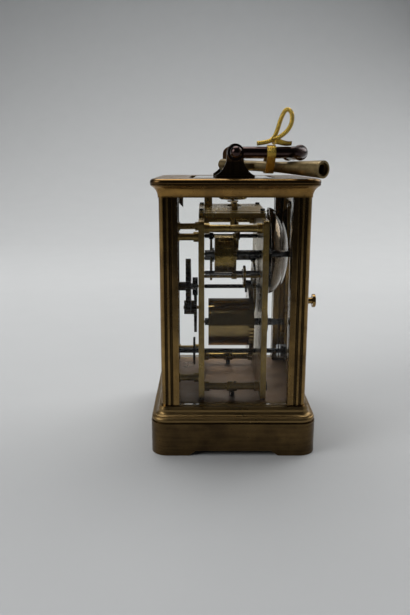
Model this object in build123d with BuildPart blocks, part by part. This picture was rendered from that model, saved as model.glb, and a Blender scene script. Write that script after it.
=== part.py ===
from build123d import *
import os
from math import acos, atan2, cos, degrees, hypot, pi, radians, sin, sqrt, tan

# Brass carriage clock with an alarm. Millimetres, +Z up, origin under the middle of the base.
# The dial faces -Y, the rear door faces +Y.

# Fits and general values
overrun = 1.0
running_gap = 0.05
seat_gap = 0.05
side_gap = 0.3

# Base
base_reach = 4.4
plinth_height = 14.0
moulding_height = 6.5
foot_height = 2.2
side_foot_gap = 37.6
front_foot_gap = 46.0
foot_slant = 3.0
base_wall = 9.0
base_floor = 4.5
base_recess_corner = 4.0

# Pillars and body
body_width = 71.2
body_depth = 60.4
body_corner = 2.5
pillar_width = 7.5
movement_headroom = 9.8
reed_radius = 0.5
glass_groove_depth = 1.5
reed_shares = (0.32, 0.6)

# Cornice
cornice_reach = 3.2
cornice_height = 7.2
top_opening_width = 42.0
top_opening_depth = 34.0
top_opening_corner = 3.0
glass_rebate = 1.4
cornice_shell = 4.2

# Glass
glass_thickness = 2.0
glass_setback = 0.85
glass_bevel_width = 4.0
glass_bevel_depth = 0.8
top_bevel_width = 2.4

# Screws
case_screw_radius = 1.4
case_screw_length = 7.0
case_screw_head_radius = 2.8
case_screw_head_height = 1.5
slot_width = 0.6
slot_depth = 0.6

# Rear door
door_thickness = 4.0
door_frame_width = 4.2
door_gap = 0.3
door_end_gap = 0.4
door_pin_radius = 0.9
door_pin_length = 1.6
door_knob_radius = 2.8
door_knob_head = 1.3
door_knob_reach = 2.8
door_knob_stem_radius = 1.3

# Handle, its brackets and pivots
bracket_place = 26.6
bracket_foot_length = 15.8
bracket_foot_width = 6.4
bracket_foot_height = 1.0
bracket_neck_length = 6.8
bracket_neck_height = 6.7
bracket_thickness = 4.0
pivot_height = 10.0
knuckle_radius = 3.4
pivot_pin_radius = 1.3
pivot_ball_radius = 2.3
handle_bar_radius = 2.15
handle_reach = 27.0
handle_corner = 7.0
handle_grip_radius = 3.0
handle_grip_length = 40.0
handle_eye_radius = 3.2
handle_eye_thickness = 4.6
grip_bead_share = 1.06

# Key and the ribbon that ties it on
key_length = 60.0
key_overhang = 6.4
key_rear_place = 31.9
key_turn = 37.0
key_rise = 1.65
key_big_radius = 3.3
key_big_length = 24.0
key_neck_radius = 2.1
key_neck_length = 12.0
key_small_radius = 2.35
key_big_square = 3.6
key_small_square = 2.2
key_hole_depth = 11.0
key_mouth_radius = 2.55
key_mouth_depth = 1.4
key_wing_length = 12.0
key_wing_width = 13.0
key_wing_thickness = 2.2
ribbon_width = 3.4
ribbon_thickness = 0.45
ribbon_gap = 0.15
ribbon_cord_radius = 0.65

# Movement frame
plate_side_gap = 4.75
plate_edge = 3.5
plate_thickness = 2.4
front_inner = -12.2
back_inner = 11.8
plate_corner = 1.5
plate_pillar_radius = 2.2
plate_pillar_inset = 6.0
plate_pillar_low = 4.0
plate_pillar_rise = 11.0
plate_screw_radius = 1.0
plate_screw_head_radius = 2.0
plate_screw_head = 0.9
movement_screw_radius = 1.1
movement_screw_reach = 1.2
pivot_radius = 0.6
arbor_radius = 0.9
arbor_shoulder = 0.25

# Dial and hands
dial_front = -25.2
dial_thickness = 1.0
dial_margin = 0.4
dial_corner = 2.0
dial_bevel = 0.3
dial_foot_radius = 2.1
dial_foot_place = 22.0
dial_foot_low = 8.0
dial_foot_high = 69.5
hand_thickness = 0.3
hand_gap = 0.4
minute_hand_length = 19.5
hour_hand_length = 13.5
alarm_hand_length = 5.6
hand_boss_radius = 1.9
hand_root_width = 1.1
hand_tip_width = 0.35
hand_ring_radius = 1.5
hand_ring_hole = 0.95
hand_ring_share = 0.7
minute_hand_turn = 42.0
hour_hand_turn = 146.0
alarm_hand_turn = 60.0

# Going train: places are height over the base top, teeth and modules
centre_height = 44.3
barrel_place = 11.5
barrel_height = 30.5
great_teeth = 60
centre_leaves = 10
centre_teeth = 64
third_leaves = 8
third_teeth = 60
contrate_leaves = 8
contrate_teeth = 48
escape_leaves = 6
centre_module = 0.36
third_module = 0.33
third_place = -3.6
great_rear = 8.9
great_thickness = 2.0
drum_front = -10.4
drum_radius = 10.5
drum_wall = 0.9
drum_cap = 0.8
mainspring_strip = 0.35
mainspring_turns = 5
mainspring_core = 3.4
mainspring_pitch = 1.05
winding_radius = 1.6
winding_rear = 22.5
winding_square = 2.3
winding_square_length = 5.0
winding_core_radius = 2.6
wheel_thickness = 1.0
wheel_rim_share = 0.76
wheel_hub_share = 0.24
wheel_spoke_width = 1.3
wheel_spokes = 4
centre_wheel_rear = 10.7
third_wheel_rear = -8.6
pinion_overlap = 0.5
collet_radius = 1.7
collet_length = 0.8
contrate_radius = 6.6
contrate_rear = 3.0
contrate_web = 0.6
contrate_rim = 0.9
contrate_tooth_height = 0.8
contrate_tooth_share = 0.34
ratchet_teeth = 20
ratchet_radius = 4.6
ratchet_depth = 0.7
ratchet_thickness = 1.2
ratchet_gap = 0.4
click_length = 7.0
click_radius = 1.3
click_gap = 0.25
click_thickness = 1.2
click_stud_radius = 0.7
winding_click_turn = 150
alarm_click_turn = 230
blade_gap = 1.4
blade_thickness = 0.4
spring_foot_radius = 1.2
blade_share = 0.6

# Motion work
motion_module = 0.75
cannon_leaves = 10
minute_teeth = 30
minute_leaves = 8
hour_teeth = 32
minute_wheel_place = -9.0
cannon_rear = -15.2
cannon_length = 2.4
minute_wheel_rear = -15.8
motion_thickness = 1.2
minute_pinion_length = 3.4
hour_wheel_rear = -18.4
cannon_pipe_radius = 1.4
hour_pipe_radius = 2.0
minute_stud_radius = 0.8

# Alarm work
alarm_inset = 8.5
alarm_height = 62.0
alarm_teeth = 48
alarm_leaves = 6
alarm_module = 0.35
alarm_drum_radius = 8.0
alarm_drum_front = -7.8
alarm_drum_rear = -0.2
alarm_wheel_thickness = 1.2
alarm_winding_radius = 1.65
alarm_winding_rear = 25.0
alarm_ratchet_radius = 3.9
scape_offset = 1.4
scape_radius = 4.6
scape_arbor_radius = 0.65
scape_teeth = 14
scape_tooth_depth = 1.1
scape_rear = 5.2
hammer_inset = 8.5
hammer_drop = 9.5
hammer_arm_length = 8.6
hammer_arm_turn = 100.0
hammer_arm_radius = 0.6
hammer_head_radius = 2.0
hammer_head_length = 4.0
hammer_hub_radius = 1.6
pallet_reach = 4.9
pallet_spread = 20
pallet_width = 1.2
bell_place = -4.0
bell_height = 59.5
bell_radius = 19.0
bell_rim = 16.8
bell_depth = 8.0
bell_wall = 0.8
bell_post_radius = 1.8
bell_foot_radius = 3.0
bell_foot_thickness = 1.0
bell_nut_radius = 2.4
bell_nut_thickness = 1.0
alarm_set_height = 13.5
alarm_set_radius = 1.1
alarm_set_rear = 22.0
alarm_set_knob_radius = 3.2
alarm_set_knob_length = 3.0
alarm_cam_radius = 6.5
alarm_cam_thickness = 1.0
alarm_cam_rear = -16.4
alarm_cam_notch = 1.0

# Platform and escapement
platform_left = -22.0
platform_right = 12.0
platform_thickness = 2.0
platform_screw_place = 3.0
escape_wheel_radius = 3.0
escape_wheel_teeth = 15
escape_tooth_depth = 0.8
escape_wheel_thickness = 0.5
escape_wheel_lift = 1.1
lever_place = -5.6
lever_thickness = 0.5
lever_width = 0.7
pallet_span = 3.4
pallet_drop = 0.55
lever_fork_length = 3.3
lever_fork_width = 1.8
balance_place = -12.4
balance_radius = 6.0
balance_rim = 0.9
balance_thickness = 0.9
balance_lift = 3.2
balance_staff_radius = 0.5
balance_spoke_width = 0.9
balance_screws = 12
balance_screw_radius = 0.32
balance_screw_length = 0.5
hairspring_lift = 4.6
hairspring_strip = 0.22
hairspring_height = 0.5
hairspring_core = 1.0
hairspring_pitch = 0.72
hairspring_turns = 4
cock_lift = 5.6
cock_thickness = 1.2
cock_width = 4.6
cock_foot = 3.6
bridge_lift = 2.0
bridge_thickness = 0.8
bridge_width = 2.6
potence_thickness = 1.0

# Heights and places that follow from the sizes
plate_width = body_width - 2 * (glass_setback + glass_thickness + plate_side_gap)
plate_pillar_place = plate_width / 2 - plate_pillar_inset
plate_pillar_high = alarm_height + plate_pillar_rise
plate_height = plate_pillar_high + plate_edge
pillar_height = plate_height + movement_headroom
alarm_place = plate_width / 2 - alarm_inset
scape_place = alarm_place + scape_offset
hammer_place = alarm_place - hammer_inset
hammer_height = alarm_height - hammer_drop
base_top = plinth_height + moulding_height
cornice_bottom = base_top + pillar_height
case_top = cornice_bottom + cornice_height
base_width = body_width + 2 * base_reach
base_depth = body_depth + 2 * base_reach
cornice_half_width = body_width / 2 + cornice_reach
opening_width = body_width - 2 * pillar_width
opening_depth = body_depth - 2 * pillar_width
middle_height = base_top + pillar_height / 2
pillar_middle_x = (body_width - pillar_width) / 2
pillar_middle_y = (body_depth - pillar_width) / 2
pillar_middles = [(x * pillar_middle_x, y * pillar_middle_y) for x in (-1, 1) for y in (-1, 1)]
up = Vector(0, 0, 1)
os.makedirs("parts", exist_ok=True)


def keep(piece, name):
    piece.label = name
    export_step(piece, f"parts/{name}.step")


# A plane across an arbor: local x and y are X and Z, and its pieces grow forwards from the rear face.
def across(place, rear, turn=0):
    ahead = (cos(radians(turn)), 0, sin(radians(turn)))
    return Plane(origin=(place[0], rear, place[1]), x_dir=ahead, z_dir=(0, -1, 0))


# A round bar along Y, added to the piece that is being made.
def bar(place, front, rear, radius, mode=Mode.ADD):
    with BuildSketch(across(place, rear)) as disc:
        Circle(radius)
    extrude(disc.sketch, amount=rear - front, mode=mode)


# A round bar along Z.
def upright(place, bottom, top, radius, mode=Mode.ADD):
    with BuildSketch(Plane.XY.offset(bottom)) as disc:
        with Locations(place):
            Circle(radius)
    extrude(disc.sketch, amount=top - bottom, mode=mode)


# The body's outline at one height, and the plane across it where a moulding's section is drawn.
def rail_at(level):
    with BuildSketch(Plane.XY.offset(level)) as outline:
        RectangleRounded(body_width, body_depth, body_corner)
    return outline.sketch.face().outer_wire()


def section_plane(rail):
    outward = (rail % 0).cross(up)
    if outward.dot(rail @ 0) < 0:
        outward = -outward
    return Plane(origin=rail @ 0, x_dir=outward, z_dir=outward.cross(up))


# Base: plinth with bracket feet, bead and cove moulding, recess underneath
bead_shares = ((0.82, 0.03), (0.96, 0.2), (0.82, 0.37))
cove_shares = ((0.74, 0.43), (0.42, 0.56), (0.34, 0.8))
listel_share = 0.24
base_rail = rail_at(0)


def moulding_points(shares):
    return [(base_reach * out, plinth_height + moulding_height * rise) for out, rise in shares]


def foot_cut(plane, gap, through):
    with BuildSketch(plane) as notch:
        with BuildLine():
            Polyline(
                (-gap / 2, 0),
                (foot_slant - gap / 2, foot_height),
                (gap / 2 - foot_slant, foot_height),
                (gap / 2, 0),
                close=True,
            )
        make_face()
    extrude(notch.sketch, amount=through, both=True, mode=Mode.SUBTRACT)


bead = moulding_points(bead_shares)
cove = moulding_points(cove_shares)
hinge_x = door_gap + door_thickness / 2 - opening_width / 2
hinge_y = (body_depth - door_thickness) / 2
head_seat = base_top - base_floor
with BuildPart() as base:
    with BuildSketch(section_plane(base_rail)):
        with BuildLine():
            Polyline((0, 0), (base_reach, 0), (base_reach, plinth_height))
            Polyline((base_reach, plinth_height), (bead[0][0], plinth_height), bead[0])
            ThreePointArc(*bead)
            Polyline(bead[2], (cove[0][0], bead[2][1]), cove[0])
            ThreePointArc(*cove)
            Polyline(cove[2], (base_reach * listel_share, base_top), (0, base_top), (0, 0))
        make_face()
    sweep(path=base_rail)
    with BuildSketch():
        RectangleRounded(body_width, body_depth, body_corner)
    extrude(amount=base_top)
    with BuildSketch():
        RectangleRounded(base_width - 2 * base_wall, base_depth - 2 * base_wall, base_recess_corner)
    extrude(amount=head_seat, mode=Mode.SUBTRACT)
    foot_cut(Plane.XZ, front_foot_gap, base_depth)
    foot_cut(Plane.YZ, side_foot_gap, base_width)
    for spot in pillar_middles:
        upright(spot, 0, base_top, case_screw_radius + seat_gap, Mode.SUBTRACT)
        upright(spot, 0, head_seat, case_screw_head_radius + side_gap, Mode.SUBTRACT)
    for side in (-1, 1):
        spot = (side * plate_pillar_place, (front_inner + back_inner) / 2)
        upright(spot, 0, base_top, movement_screw_radius + seat_gap, Mode.SUBTRACT)
    pin_hole = door_pin_radius + running_gap
    upright((hinge_x, hinge_y), base_top - door_pin_length, base_top, pin_hole, Mode.SUBTRACT)
keep(base.part, "base")


# Corner pillars: reeded on their outer faces, grooved for the glass on their inner ones
def corner_pillar(side, end, name):
    middle = (side * pillar_middle_x, end * pillar_middle_y)
    side_glass_x = side * (body_width / 2 - glass_setback - glass_thickness / 2)
    front_glass_y = end * (body_depth / 2 - glass_setback - glass_thickness / 2)
    slot = glass_thickness + 2 * seat_gap
    with BuildPart() as pillar:
        with BuildSketch(Plane.XY.offset(base_top)):
            RectangleRounded(body_width, body_depth, body_corner)
            with Locations(middle):
                Rectangle(pillar_width, pillar_width, mode=Mode.INTERSECT)
            for share in reed_shares:
                inset = share * pillar_width
                with Locations(
                    (side * body_width / 2, end * (body_depth / 2 - inset)),
                    (side * (body_width / 2 - inset), end * body_depth / 2),
                ):
                    Circle(reed_radius, mode=Mode.SUBTRACT)
            with Locations((side_glass_x, end * (opening_depth + glass_groove_depth) / 2)):
                Rectangle(slot, glass_groove_depth, mode=Mode.SUBTRACT)
            if end < 0:
                with Locations((side * (opening_width + glass_groove_depth) / 2, front_glass_y)):
                    Rectangle(glass_groove_depth, slot, mode=Mode.SUBTRACT)
        extrude(amount=pillar_height)
        bite = base_top + case_screw_length
        upright(middle, base_top, bite, case_screw_radius + seat_gap, Mode.SUBTRACT)
    keep(pillar.part, name)


corner_pillar(-1, -1, "front_left_pillar")
corner_pillar(1, -1, "front_right_pillar")
corner_pillar(-1, 1, "rear_left_pillar")
corner_pillar(1, 1, "rear_right_pillar")

# Screws that hold the pillars and the movement down, driven from under the base
with BuildPart() as case_screws:
    for spot in pillar_middles:
        upright(spot, head_seat - case_screw_head_height, head_seat, case_screw_head_radius)
        upright(spot, head_seat, base_top + case_screw_length - side_gap, case_screw_radius)
    for side in (-1, 1):
        spot = (side * plate_pillar_place, (front_inner + back_inner) / 2)
        top = base_top + plate_pillar_low + movement_screw_reach
        upright(spot, head_seat - case_screw_head_height, head_seat, case_screw_head_radius)
        upright(spot, head_seat, top, movement_screw_radius)
    with BuildSketch(Plane.XY.offset(head_seat - case_screw_head_height)):
        with Locations(*pillar_middles):
            Rectangle(slot_width, 2 * case_screw_head_radius)
    extrude(amount=slot_depth, mode=Mode.SUBTRACT)
keep(case_screws.part, "case_screws")

# Cornice: cavetto below, nose, quarter round above, with a rebated opening for the top glass
cavetto_shares = ((0.1, 0.07), (0.32, 0.38), (0.86, 0.6))
nose_share = 0.66
round_shares = ((1.0, 0.74), (0.93, 0.93), (0.64, 1.0))
cornice_rail = rail_at(cornice_bottom)


def cornice_points(shares):
    return [(cornice_reach * out, cornice_height * rise) for out, rise in shares]


cavetto = cornice_points(cavetto_shares)
rounding = cornice_points(round_shares)
with BuildPart() as cornice:
    with BuildSketch(section_plane(cornice_rail)):
        with BuildLine():
            Polyline((0, 0), (cavetto[0][0], 0), cavetto[0])
            ThreePointArc(*cavetto)
            Polyline(cavetto[2], (cornice_reach, cornice_height * nose_share), rounding[0])
            ThreePointArc(*rounding)
            Polyline(rounding[2], (0, cornice_height), (0, 0))
        make_face()
    sweep(path=cornice_rail)
    with BuildSketch(Plane.XY.offset(cornice_bottom)):
        RectangleRounded(body_width, body_depth, body_corner)
    extrude(amount=cornice_height)
    with BuildSketch(Plane.XY.offset(cornice_bottom)):
        Rectangle(opening_width, opening_depth)
    extrude(amount=cornice_height - cornice_shell, mode=Mode.SUBTRACT)
    with BuildSketch(Plane.XY.offset(cornice_bottom)):
        RectangleRounded(top_opening_width, top_opening_depth, top_opening_corner)
    extrude(amount=cornice_height, mode=Mode.SUBTRACT)
    with BuildSketch(Plane.XY.offset(case_top - glass_thickness)):
        RectangleRounded(
            top_opening_width + 2 * glass_rebate,
            top_opening_depth + 2 * glass_rebate,
            top_opening_corner + glass_rebate,
        )
    extrude(amount=glass_thickness, mode=Mode.SUBTRACT)
    pin_top = cornice_bottom + door_pin_length
    upright((hinge_x, hinge_y), cornice_bottom, pin_top, door_pin_radius + running_gap, Mode.SUBTRACT)
keep(cornice.part, "cornice")


# Bevelled glass: full size at its inner face, with a wide shallow bevel round its outer one
def glass_panel(plane, width, height, bevel, name):
    land = glass_thickness - glass_bevel_depth
    with BuildPart() as panel:
        with BuildSketch(plane):
            Rectangle(width, height)
        extrude(amount=land)
        with BuildSketch(plane.offset(land)):
            Rectangle(width, height)
        with BuildSketch(plane.offset(glass_thickness)):
            Rectangle(width - 2 * bevel, height - 2 * bevel)
        loft()
    keep(panel.part, name)


side_glass_depth = opening_depth + 2 * (glass_groove_depth - seat_gap)
front_glass_width = opening_width + 2 * (glass_groove_depth - seat_gap)
glass_inner_x = body_width / 2 - glass_setback - glass_thickness
glass_inner_y = body_depth / 2 - glass_setback - glass_thickness
glass_height = pillar_height - 2 * seat_gap
set_bevel = glass_groove_depth + glass_bevel_width
right_plane = Plane(origin=(glass_inner_x, 0, middle_height), x_dir=(0, 1, 0), z_dir=(1, 0, 0))
left_plane = Plane(origin=(-glass_inner_x, 0, middle_height), x_dir=(0, -1, 0), z_dir=(-1, 0, 0))
front_plane = Plane(origin=(0, -glass_inner_y, middle_height), x_dir=(1, 0, 0), z_dir=(0, -1, 0))
glass_panel(right_plane, side_glass_depth, glass_height, set_bevel, "right_glass")
glass_panel(left_plane, side_glass_depth, glass_height, set_bevel, "left_glass")
glass_panel(front_plane, front_glass_width, glass_height, set_bevel, "front_glass")

# The top glass has rounded corners
top_width = top_opening_width + 2 * (glass_rebate - seat_gap)
top_depth = top_opening_depth + 2 * (glass_rebate - seat_gap)
top_corner = top_opening_corner + glass_rebate - seat_gap
with BuildPart() as top_glass:
    with BuildSketch(Plane.XY.offset(case_top - glass_thickness)):
        RectangleRounded(top_width, top_depth, top_corner)
    extrude(amount=glass_thickness - glass_bevel_depth)
    with BuildSketch(Plane.XY.offset(case_top - glass_bevel_depth)):
        RectangleRounded(top_width, top_depth, top_corner)
    with BuildSketch(Plane.XY.offset(case_top)):
        RectangleRounded(
            top_width - 2 * top_bevel_width,
            top_depth - 2 * top_bevel_width,
            top_corner - top_bevel_width,
        )
    loft()
keep(top_glass.part, "top_glass")

# Rear door: brass frame, rounded on its hinge edge, with pins at the top and bottom of that edge
door_width = opening_width - 2 * door_gap
door_bottom = base_top + door_end_gap
door_height = pillar_height - 2 * door_end_gap
door_top = door_bottom + door_height
window_width = door_width - 2 * door_frame_width
window_height = door_height - 2 * door_frame_width
door_plane = Plane(origin=(0, hinge_y, middle_height), x_dir=(-1, 0, 0), z_dir=(0, 1, 0))
with BuildPart() as door_frame:
    with BuildSketch(Plane.XY.offset(door_bottom)):
        with Locations((hinge_x, hinge_y)):
            Circle(door_thickness / 2)
        with Locations((door_thickness / 4, hinge_y)):
            Rectangle(door_width - door_thickness / 2, door_thickness)
    extrude(amount=door_height)
    with BuildSketch(door_plane):
        Rectangle(window_width, window_height)
    extrude(amount=door_thickness, both=True, mode=Mode.SUBTRACT)
    with BuildSketch(door_plane):
        Rectangle(window_width + 2 * glass_rebate, window_height + 2 * glass_rebate)
    extrude(amount=glass_thickness / 2 + seat_gap, both=True, mode=Mode.SUBTRACT)
    pin_ends = (base_top - door_pin_length + seat_gap, pin_top - seat_gap)
    upright((hinge_x, hinge_y), pin_ends[0], door_bottom, door_pin_radius)
    upright((hinge_x, hinge_y), door_top, pin_ends[1], door_pin_radius)
keep(door_frame.part, "door_frame")

door_pane_width = window_width + 2 * (glass_rebate - seat_gap)
door_pane_height = window_height + 2 * (glass_rebate - seat_gap)
door_pane_plane = door_plane.offset(-glass_thickness / 2)
door_bevel = glass_rebate + glass_bevel_width
glass_panel(door_pane_plane, door_pane_width, door_pane_height, door_bevel, "door_glass")

# Turned knob near the door's free edge
knob_place = ((door_width - door_frame_width) / 2, middle_height)
knob_seat = body_depth / 2
with BuildPart() as door_knob:
    bar(knob_place, knob_seat, knob_seat + door_knob_reach, door_knob_stem_radius)
    head_rear = knob_seat + door_knob_reach + door_knob_head
    bar(knob_place, knob_seat + door_knob_reach, head_rear, door_knob_radius)
    fillet(door_knob.edges().filter_by(GeomType.CIRCLE).group_by(Axis.Y)[-1], door_knob_head / 3)
keep(door_knob.part, "door_knob")

# Handle brackets on the cornice: flared foot, neck and knuckle
pivot_z = case_top + pivot_height
arm_x = bracket_place + bracket_thickness / 2 + side_gap + handle_eye_thickness / 2
flare_shares = (0.62, 0.38)
flare_y = bracket_neck_length / 2 + flare_shares[1] * (bracket_foot_length - bracket_neck_length) / 2
flare_z = bracket_foot_height + flare_shares[1] * (bracket_neck_height - bracket_foot_height)


def bracket(side):
    inner = side * bracket_place - bracket_thickness / 2
    plane = Plane(origin=(inner, 0, case_top), x_dir=(0, 1, 0), z_dir=(1, 0, 0))
    foot = bracket_foot_length / 2
    neck = bracket_neck_length / 2
    with BuildSketch(plane) as web:
        with BuildLine():
            Polyline((-foot, bracket_foot_height), (-foot, 0), (foot, 0), (foot, bracket_foot_height))
            ThreePointArc((foot, bracket_foot_height), (flare_y, flare_z), (neck, bracket_neck_height))
            Polyline((neck, bracket_neck_height), (neck, pivot_height), (-neck, pivot_height))
            Line((-neck, pivot_height), (-neck, bracket_neck_height))
            ThreePointArc((-neck, bracket_neck_height), (-flare_y, flare_z), (-foot, bracket_foot_height))
        make_face()
        with Locations((0, pivot_height)):
            Circle(knuckle_radius)
            Circle(pivot_pin_radius + seat_gap, mode=Mode.SUBTRACT)
    extrude(web.sketch, amount=bracket_thickness)
    with BuildSketch(Plane.XY.offset(case_top)) as sole:
        with Locations((side * bracket_place, 0)):
            RectangleRounded(bracket_foot_width, bracket_foot_length, bracket_foot_height)
    extrude(sole.sketch, amount=bracket_foot_height)


with BuildPart() as handle_brackets:
    bracket(-1)
    bracket(1)
keep(handle_brackets.part, "handle_brackets")

# Pivots: pins through the brackets and the handle's eyes, with round heads outside
ball_x = arm_x + handle_eye_thickness / 2 + side_gap + pivot_ball_radius
pivot_start = bracket_place - bracket_thickness / 2
with BuildPart() as handle_pivots:
    for side in (-1, 1):
        plane = Plane(origin=(side * pivot_start, 0, pivot_z), z_dir=(side, 0, 0))
        with BuildSketch(plane):
            Circle(pivot_pin_radius)
        extrude(amount=ball_x - pivot_start)
        with Locations((side * ball_x, 0, pivot_z)):
            Sphere(pivot_ball_radius)
keep(handle_pivots.part, "handle_pivots")

# Handle: bent round bar with an eye at each end and a swelling grip between two beads
bead_high = handle_grip_radius * grip_bead_share
grip_low = handle_bar_radius + running_gap
grip_end = handle_grip_length / 2
bead_end = grip_end - handle_grip_radius
bead_middle = (grip_end + bead_end) / 2
with BuildPart() as handle:
    with BuildLine(Plane.XY.offset(pivot_z)) as bail:
        FilletPolyline(
            (-arm_x, 0),
            (-arm_x, handle_reach),
            (arm_x, handle_reach),
            (arm_x, 0),
            radius=handle_corner,
        )
    with BuildSketch(Plane(origin=bail.line @ 0, z_dir=bail.line % 0)):
        Circle(handle_bar_radius)
    sweep(path=bail.line)
    with BuildSketch(Plane(origin=(0, handle_reach, pivot_z))):
        with BuildLine():
            ThreePointArc((-grip_end, grip_low), (-bead_middle, bead_high), (-bead_end, grip_low))
            ThreePointArc((-bead_end, grip_low), (0, handle_grip_radius), (bead_end, grip_low))
            ThreePointArc((bead_end, grip_low), (bead_middle, bead_high), (grip_end, grip_low))
            Polyline((grip_end, grip_low), (grip_end, 0), (-grip_end, 0), (-grip_end, grip_low))
        make_face()
    revolve(axis=Axis((0, handle_reach, pivot_z), (1, 0, 0)))
    for side in (-1, 1):
        eye_plane = Plane(origin=(side * arm_x, 0, pivot_z), z_dir=(1, 0, 0))
        with BuildSketch(eye_plane):
            Circle(handle_eye_radius)
        extrude(amount=handle_eye_thickness / 2, both=True)
        with BuildSketch(eye_plane):
            Circle(pivot_pin_radius + running_gap)
        extrude(amount=handle_eye_thickness / 2 + overrun, both=True, mode=Mode.SUBTRACT)
keep(handle.part, "handle")

# Double-ended key, lying across the top under the handle's right arm
key_end = Vector(cornice_half_width + key_overhang, key_rear_place, case_top + key_big_radius + side_gap)
key_way = Vector(
    -cos(radians(key_turn)) * cos(radians(key_rise)),
    -sin(radians(key_turn)) * cos(radians(key_rise)),
    sin(radians(key_rise)),
)
key_side = key_way.cross(up).normalized()
wing_start = key_big_length + key_neck_length
wing_end = wing_start + key_wing_length


def key_plane(along):
    return Plane(origin=key_end + key_way * along, x_dir=key_side, z_dir=key_way)


with BuildPart() as key:
    with BuildSketch(key_plane(0)):
        Circle(key_big_radius)
    with BuildSketch(key_plane(key_big_length)):
        Circle(key_neck_radius)
    loft()
    with BuildSketch(key_plane(key_big_length)):
        Circle(key_neck_radius)
    extrude(amount=wing_end - key_big_length)
    wing_plane = key_plane((wing_start + wing_end) / 2)
    with BuildSketch(Plane(origin=wing_plane.origin, x_dir=key_way, z_dir=key_side.cross(key_way))):
        Ellipse(key_wing_length / 2, key_wing_width / 2)
    extrude(amount=key_wing_thickness / 2, both=True)
    with BuildSketch(key_plane(wing_end - key_neck_radius)):
        Circle(key_small_radius)
    extrude(amount=key_length - wing_end + key_neck_radius)
    with BuildSketch(key_plane(0)):
        Rectangle(key_big_square, key_big_square)
    extrude(amount=key_hole_depth, mode=Mode.SUBTRACT)
    with BuildSketch(key_plane(0)):
        Circle(key_mouth_radius)
    extrude(amount=key_mouth_depth, mode=Mode.SUBTRACT)
    with BuildSketch(key_plane(key_length)):
        Rectangle(key_small_square, key_small_square)
    extrude(amount=-key_hole_depth, mode=Mode.SUBTRACT)
keep(key.part, "key")

# Ribbon: a flat turn round the handle's arm and the key's neck
wrap_along = key_big_length + key_neck_length / 2
wrap_point = key_end + key_way * wrap_along
wrap_spread = ribbon_width / 2 * cos(radians(key_turn)) / sin(radians(key_turn))
neck_slant = key_neck_radius / sin(radians(key_turn)) - key_neck_radius
wrap_plane = Plane(origin=(0, wrap_point.Y + ribbon_width / 2, 0), x_dir=(1, 0, 0), z_dir=(0, -1, 0))
neck_left = (wrap_point.X - wrap_spread - neck_slant, wrap_point.Z)
neck_right = (wrap_point.X + wrap_spread + neck_slant, wrap_point.Z)


def turn_outline(spare):
    with BuildSketch(wrap_plane) as outline:
        with Locations((arm_x, pivot_z)):
            Circle(handle_bar_radius + spare)
        with Locations(neck_left, neck_right):
            Circle(key_neck_radius + spare)
        make_hull()
    return outline.sketch


with BuildPart() as ribbon_turn:
    extrude(turn_outline(ribbon_gap + ribbon_thickness), amount=ribbon_width)
    extrude(turn_outline(ribbon_gap), amount=ribbon_width, mode=Mode.SUBTRACT)
keep(ribbon_turn.part, "ribbon_turn")

# Ribbon's tails and upright loop: one cord, its points chosen by hand from the middle of the turn
loop_origin = Vector(arm_x, wrap_point.Y, pivot_z + handle_bar_radius)
loop_points = [
    (-0.2, -5.6, 1.2),
    (-0.3, -2.4, 1.5),
    (-0.5, 0.8, 2.6),
    (-0.8, 2.4, 6.4),
    (-0.9, 3.6, 10.8),
    (-0.4, 5.6, 14.4),
    (0.4, 7.8, 12.6),
    (0.9, 7.6, 8.2),
    (0.9, 5.0, 4.6),
    (0.9, 1.8, 2.9),
]
loop_route = [loop_origin + Vector(*point) for point in loop_points]
run_share = 0.45


def corner_radii(route):
    radii = []
    for before, here, after in zip(route, route[1:], route[2:]):
        turn = radians((here - before).get_angle(after - here))
        shorter = min((here - before).length, (after - here).length)
        radii.append(run_share * shorter / tan(turn / 2))
    return radii


loop_radii = corner_radii(loop_route)
print("ribbon loop radii", [round(radius, 2) for radius in loop_radii])
with BuildPart() as ribbon_loop:
    with BuildLine() as loop_line:
        FilletPolyline(*loop_route, radius=loop_radii)
    with BuildSketch(Plane(origin=loop_line.line @ 0, z_dir=loop_line.line % 0)):
        Circle(ribbon_cord_radius)
    sweep(path=loop_line.line)
loop_length = sum(edge.length for edge in loop_line.line.edges())
print("ribbon loop length", round(loop_length, 1), "volume", round(ribbon_loop.part.volume, 1))
keep(ribbon_loop.part, "ribbon_loop")

# Places of the arbors as (X, Z): the distance between two meshed arbors follows from their teeth
centre = (0, base_top + centre_height)
barrel = (barrel_place, base_top + barrel_height)
great_module = 2 * hypot(barrel[0] - centre[0], barrel[1] - centre[1]) / (great_teeth + centre_leaves)
third_reach = centre_module * (centre_teeth + third_leaves) / 2
third = (third_place, centre[1] + sqrt(third_reach**2 - third_place**2))
contrate_reach = third_module * (third_teeth + contrate_leaves) / 2
contrate = (0, third[1] + sqrt(contrate_reach**2 - third_place**2))
motion_reach = motion_module * (cannon_leaves + minute_teeth) / 2
minute_place = (minute_wheel_place, centre[1] - sqrt(motion_reach**2 - minute_wheel_place**2))
alarm = (alarm_place, base_top + alarm_height)
scape_reach = alarm_module * (alarm_teeth + alarm_leaves) / 2
scape = (scape_place, alarm[1] - sqrt(scape_reach**2 - (scape_place - alarm_place) ** 2))
hammer_spot = (hammer_place, base_top + hammer_height)
alarm_set = (0, base_top + alarm_set_height)
bell_spot = (bell_place, base_top + bell_height)
front_outer = front_inner - plate_thickness
back_outer = back_inner + plate_thickness
plate_top = base_top + plate_height
pillar_heights = (base_top + plate_pillar_low, base_top + plate_pillar_high)
plate_pillar_spots = [(x * plate_pillar_place, z) for x in (-1, 1) for z in pillar_heights]
dial_back = dial_front + dial_thickness
foot_heights = (base_top + dial_foot_low, base_top + dial_foot_high)
dial_foot_spots = [(x * dial_foot_place, z) for x in (-1, 1) for z in foot_heights]


def angle_to(start, end):
    return degrees(atan2(end[1] - start[1], end[0] - start[0]))


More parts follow.
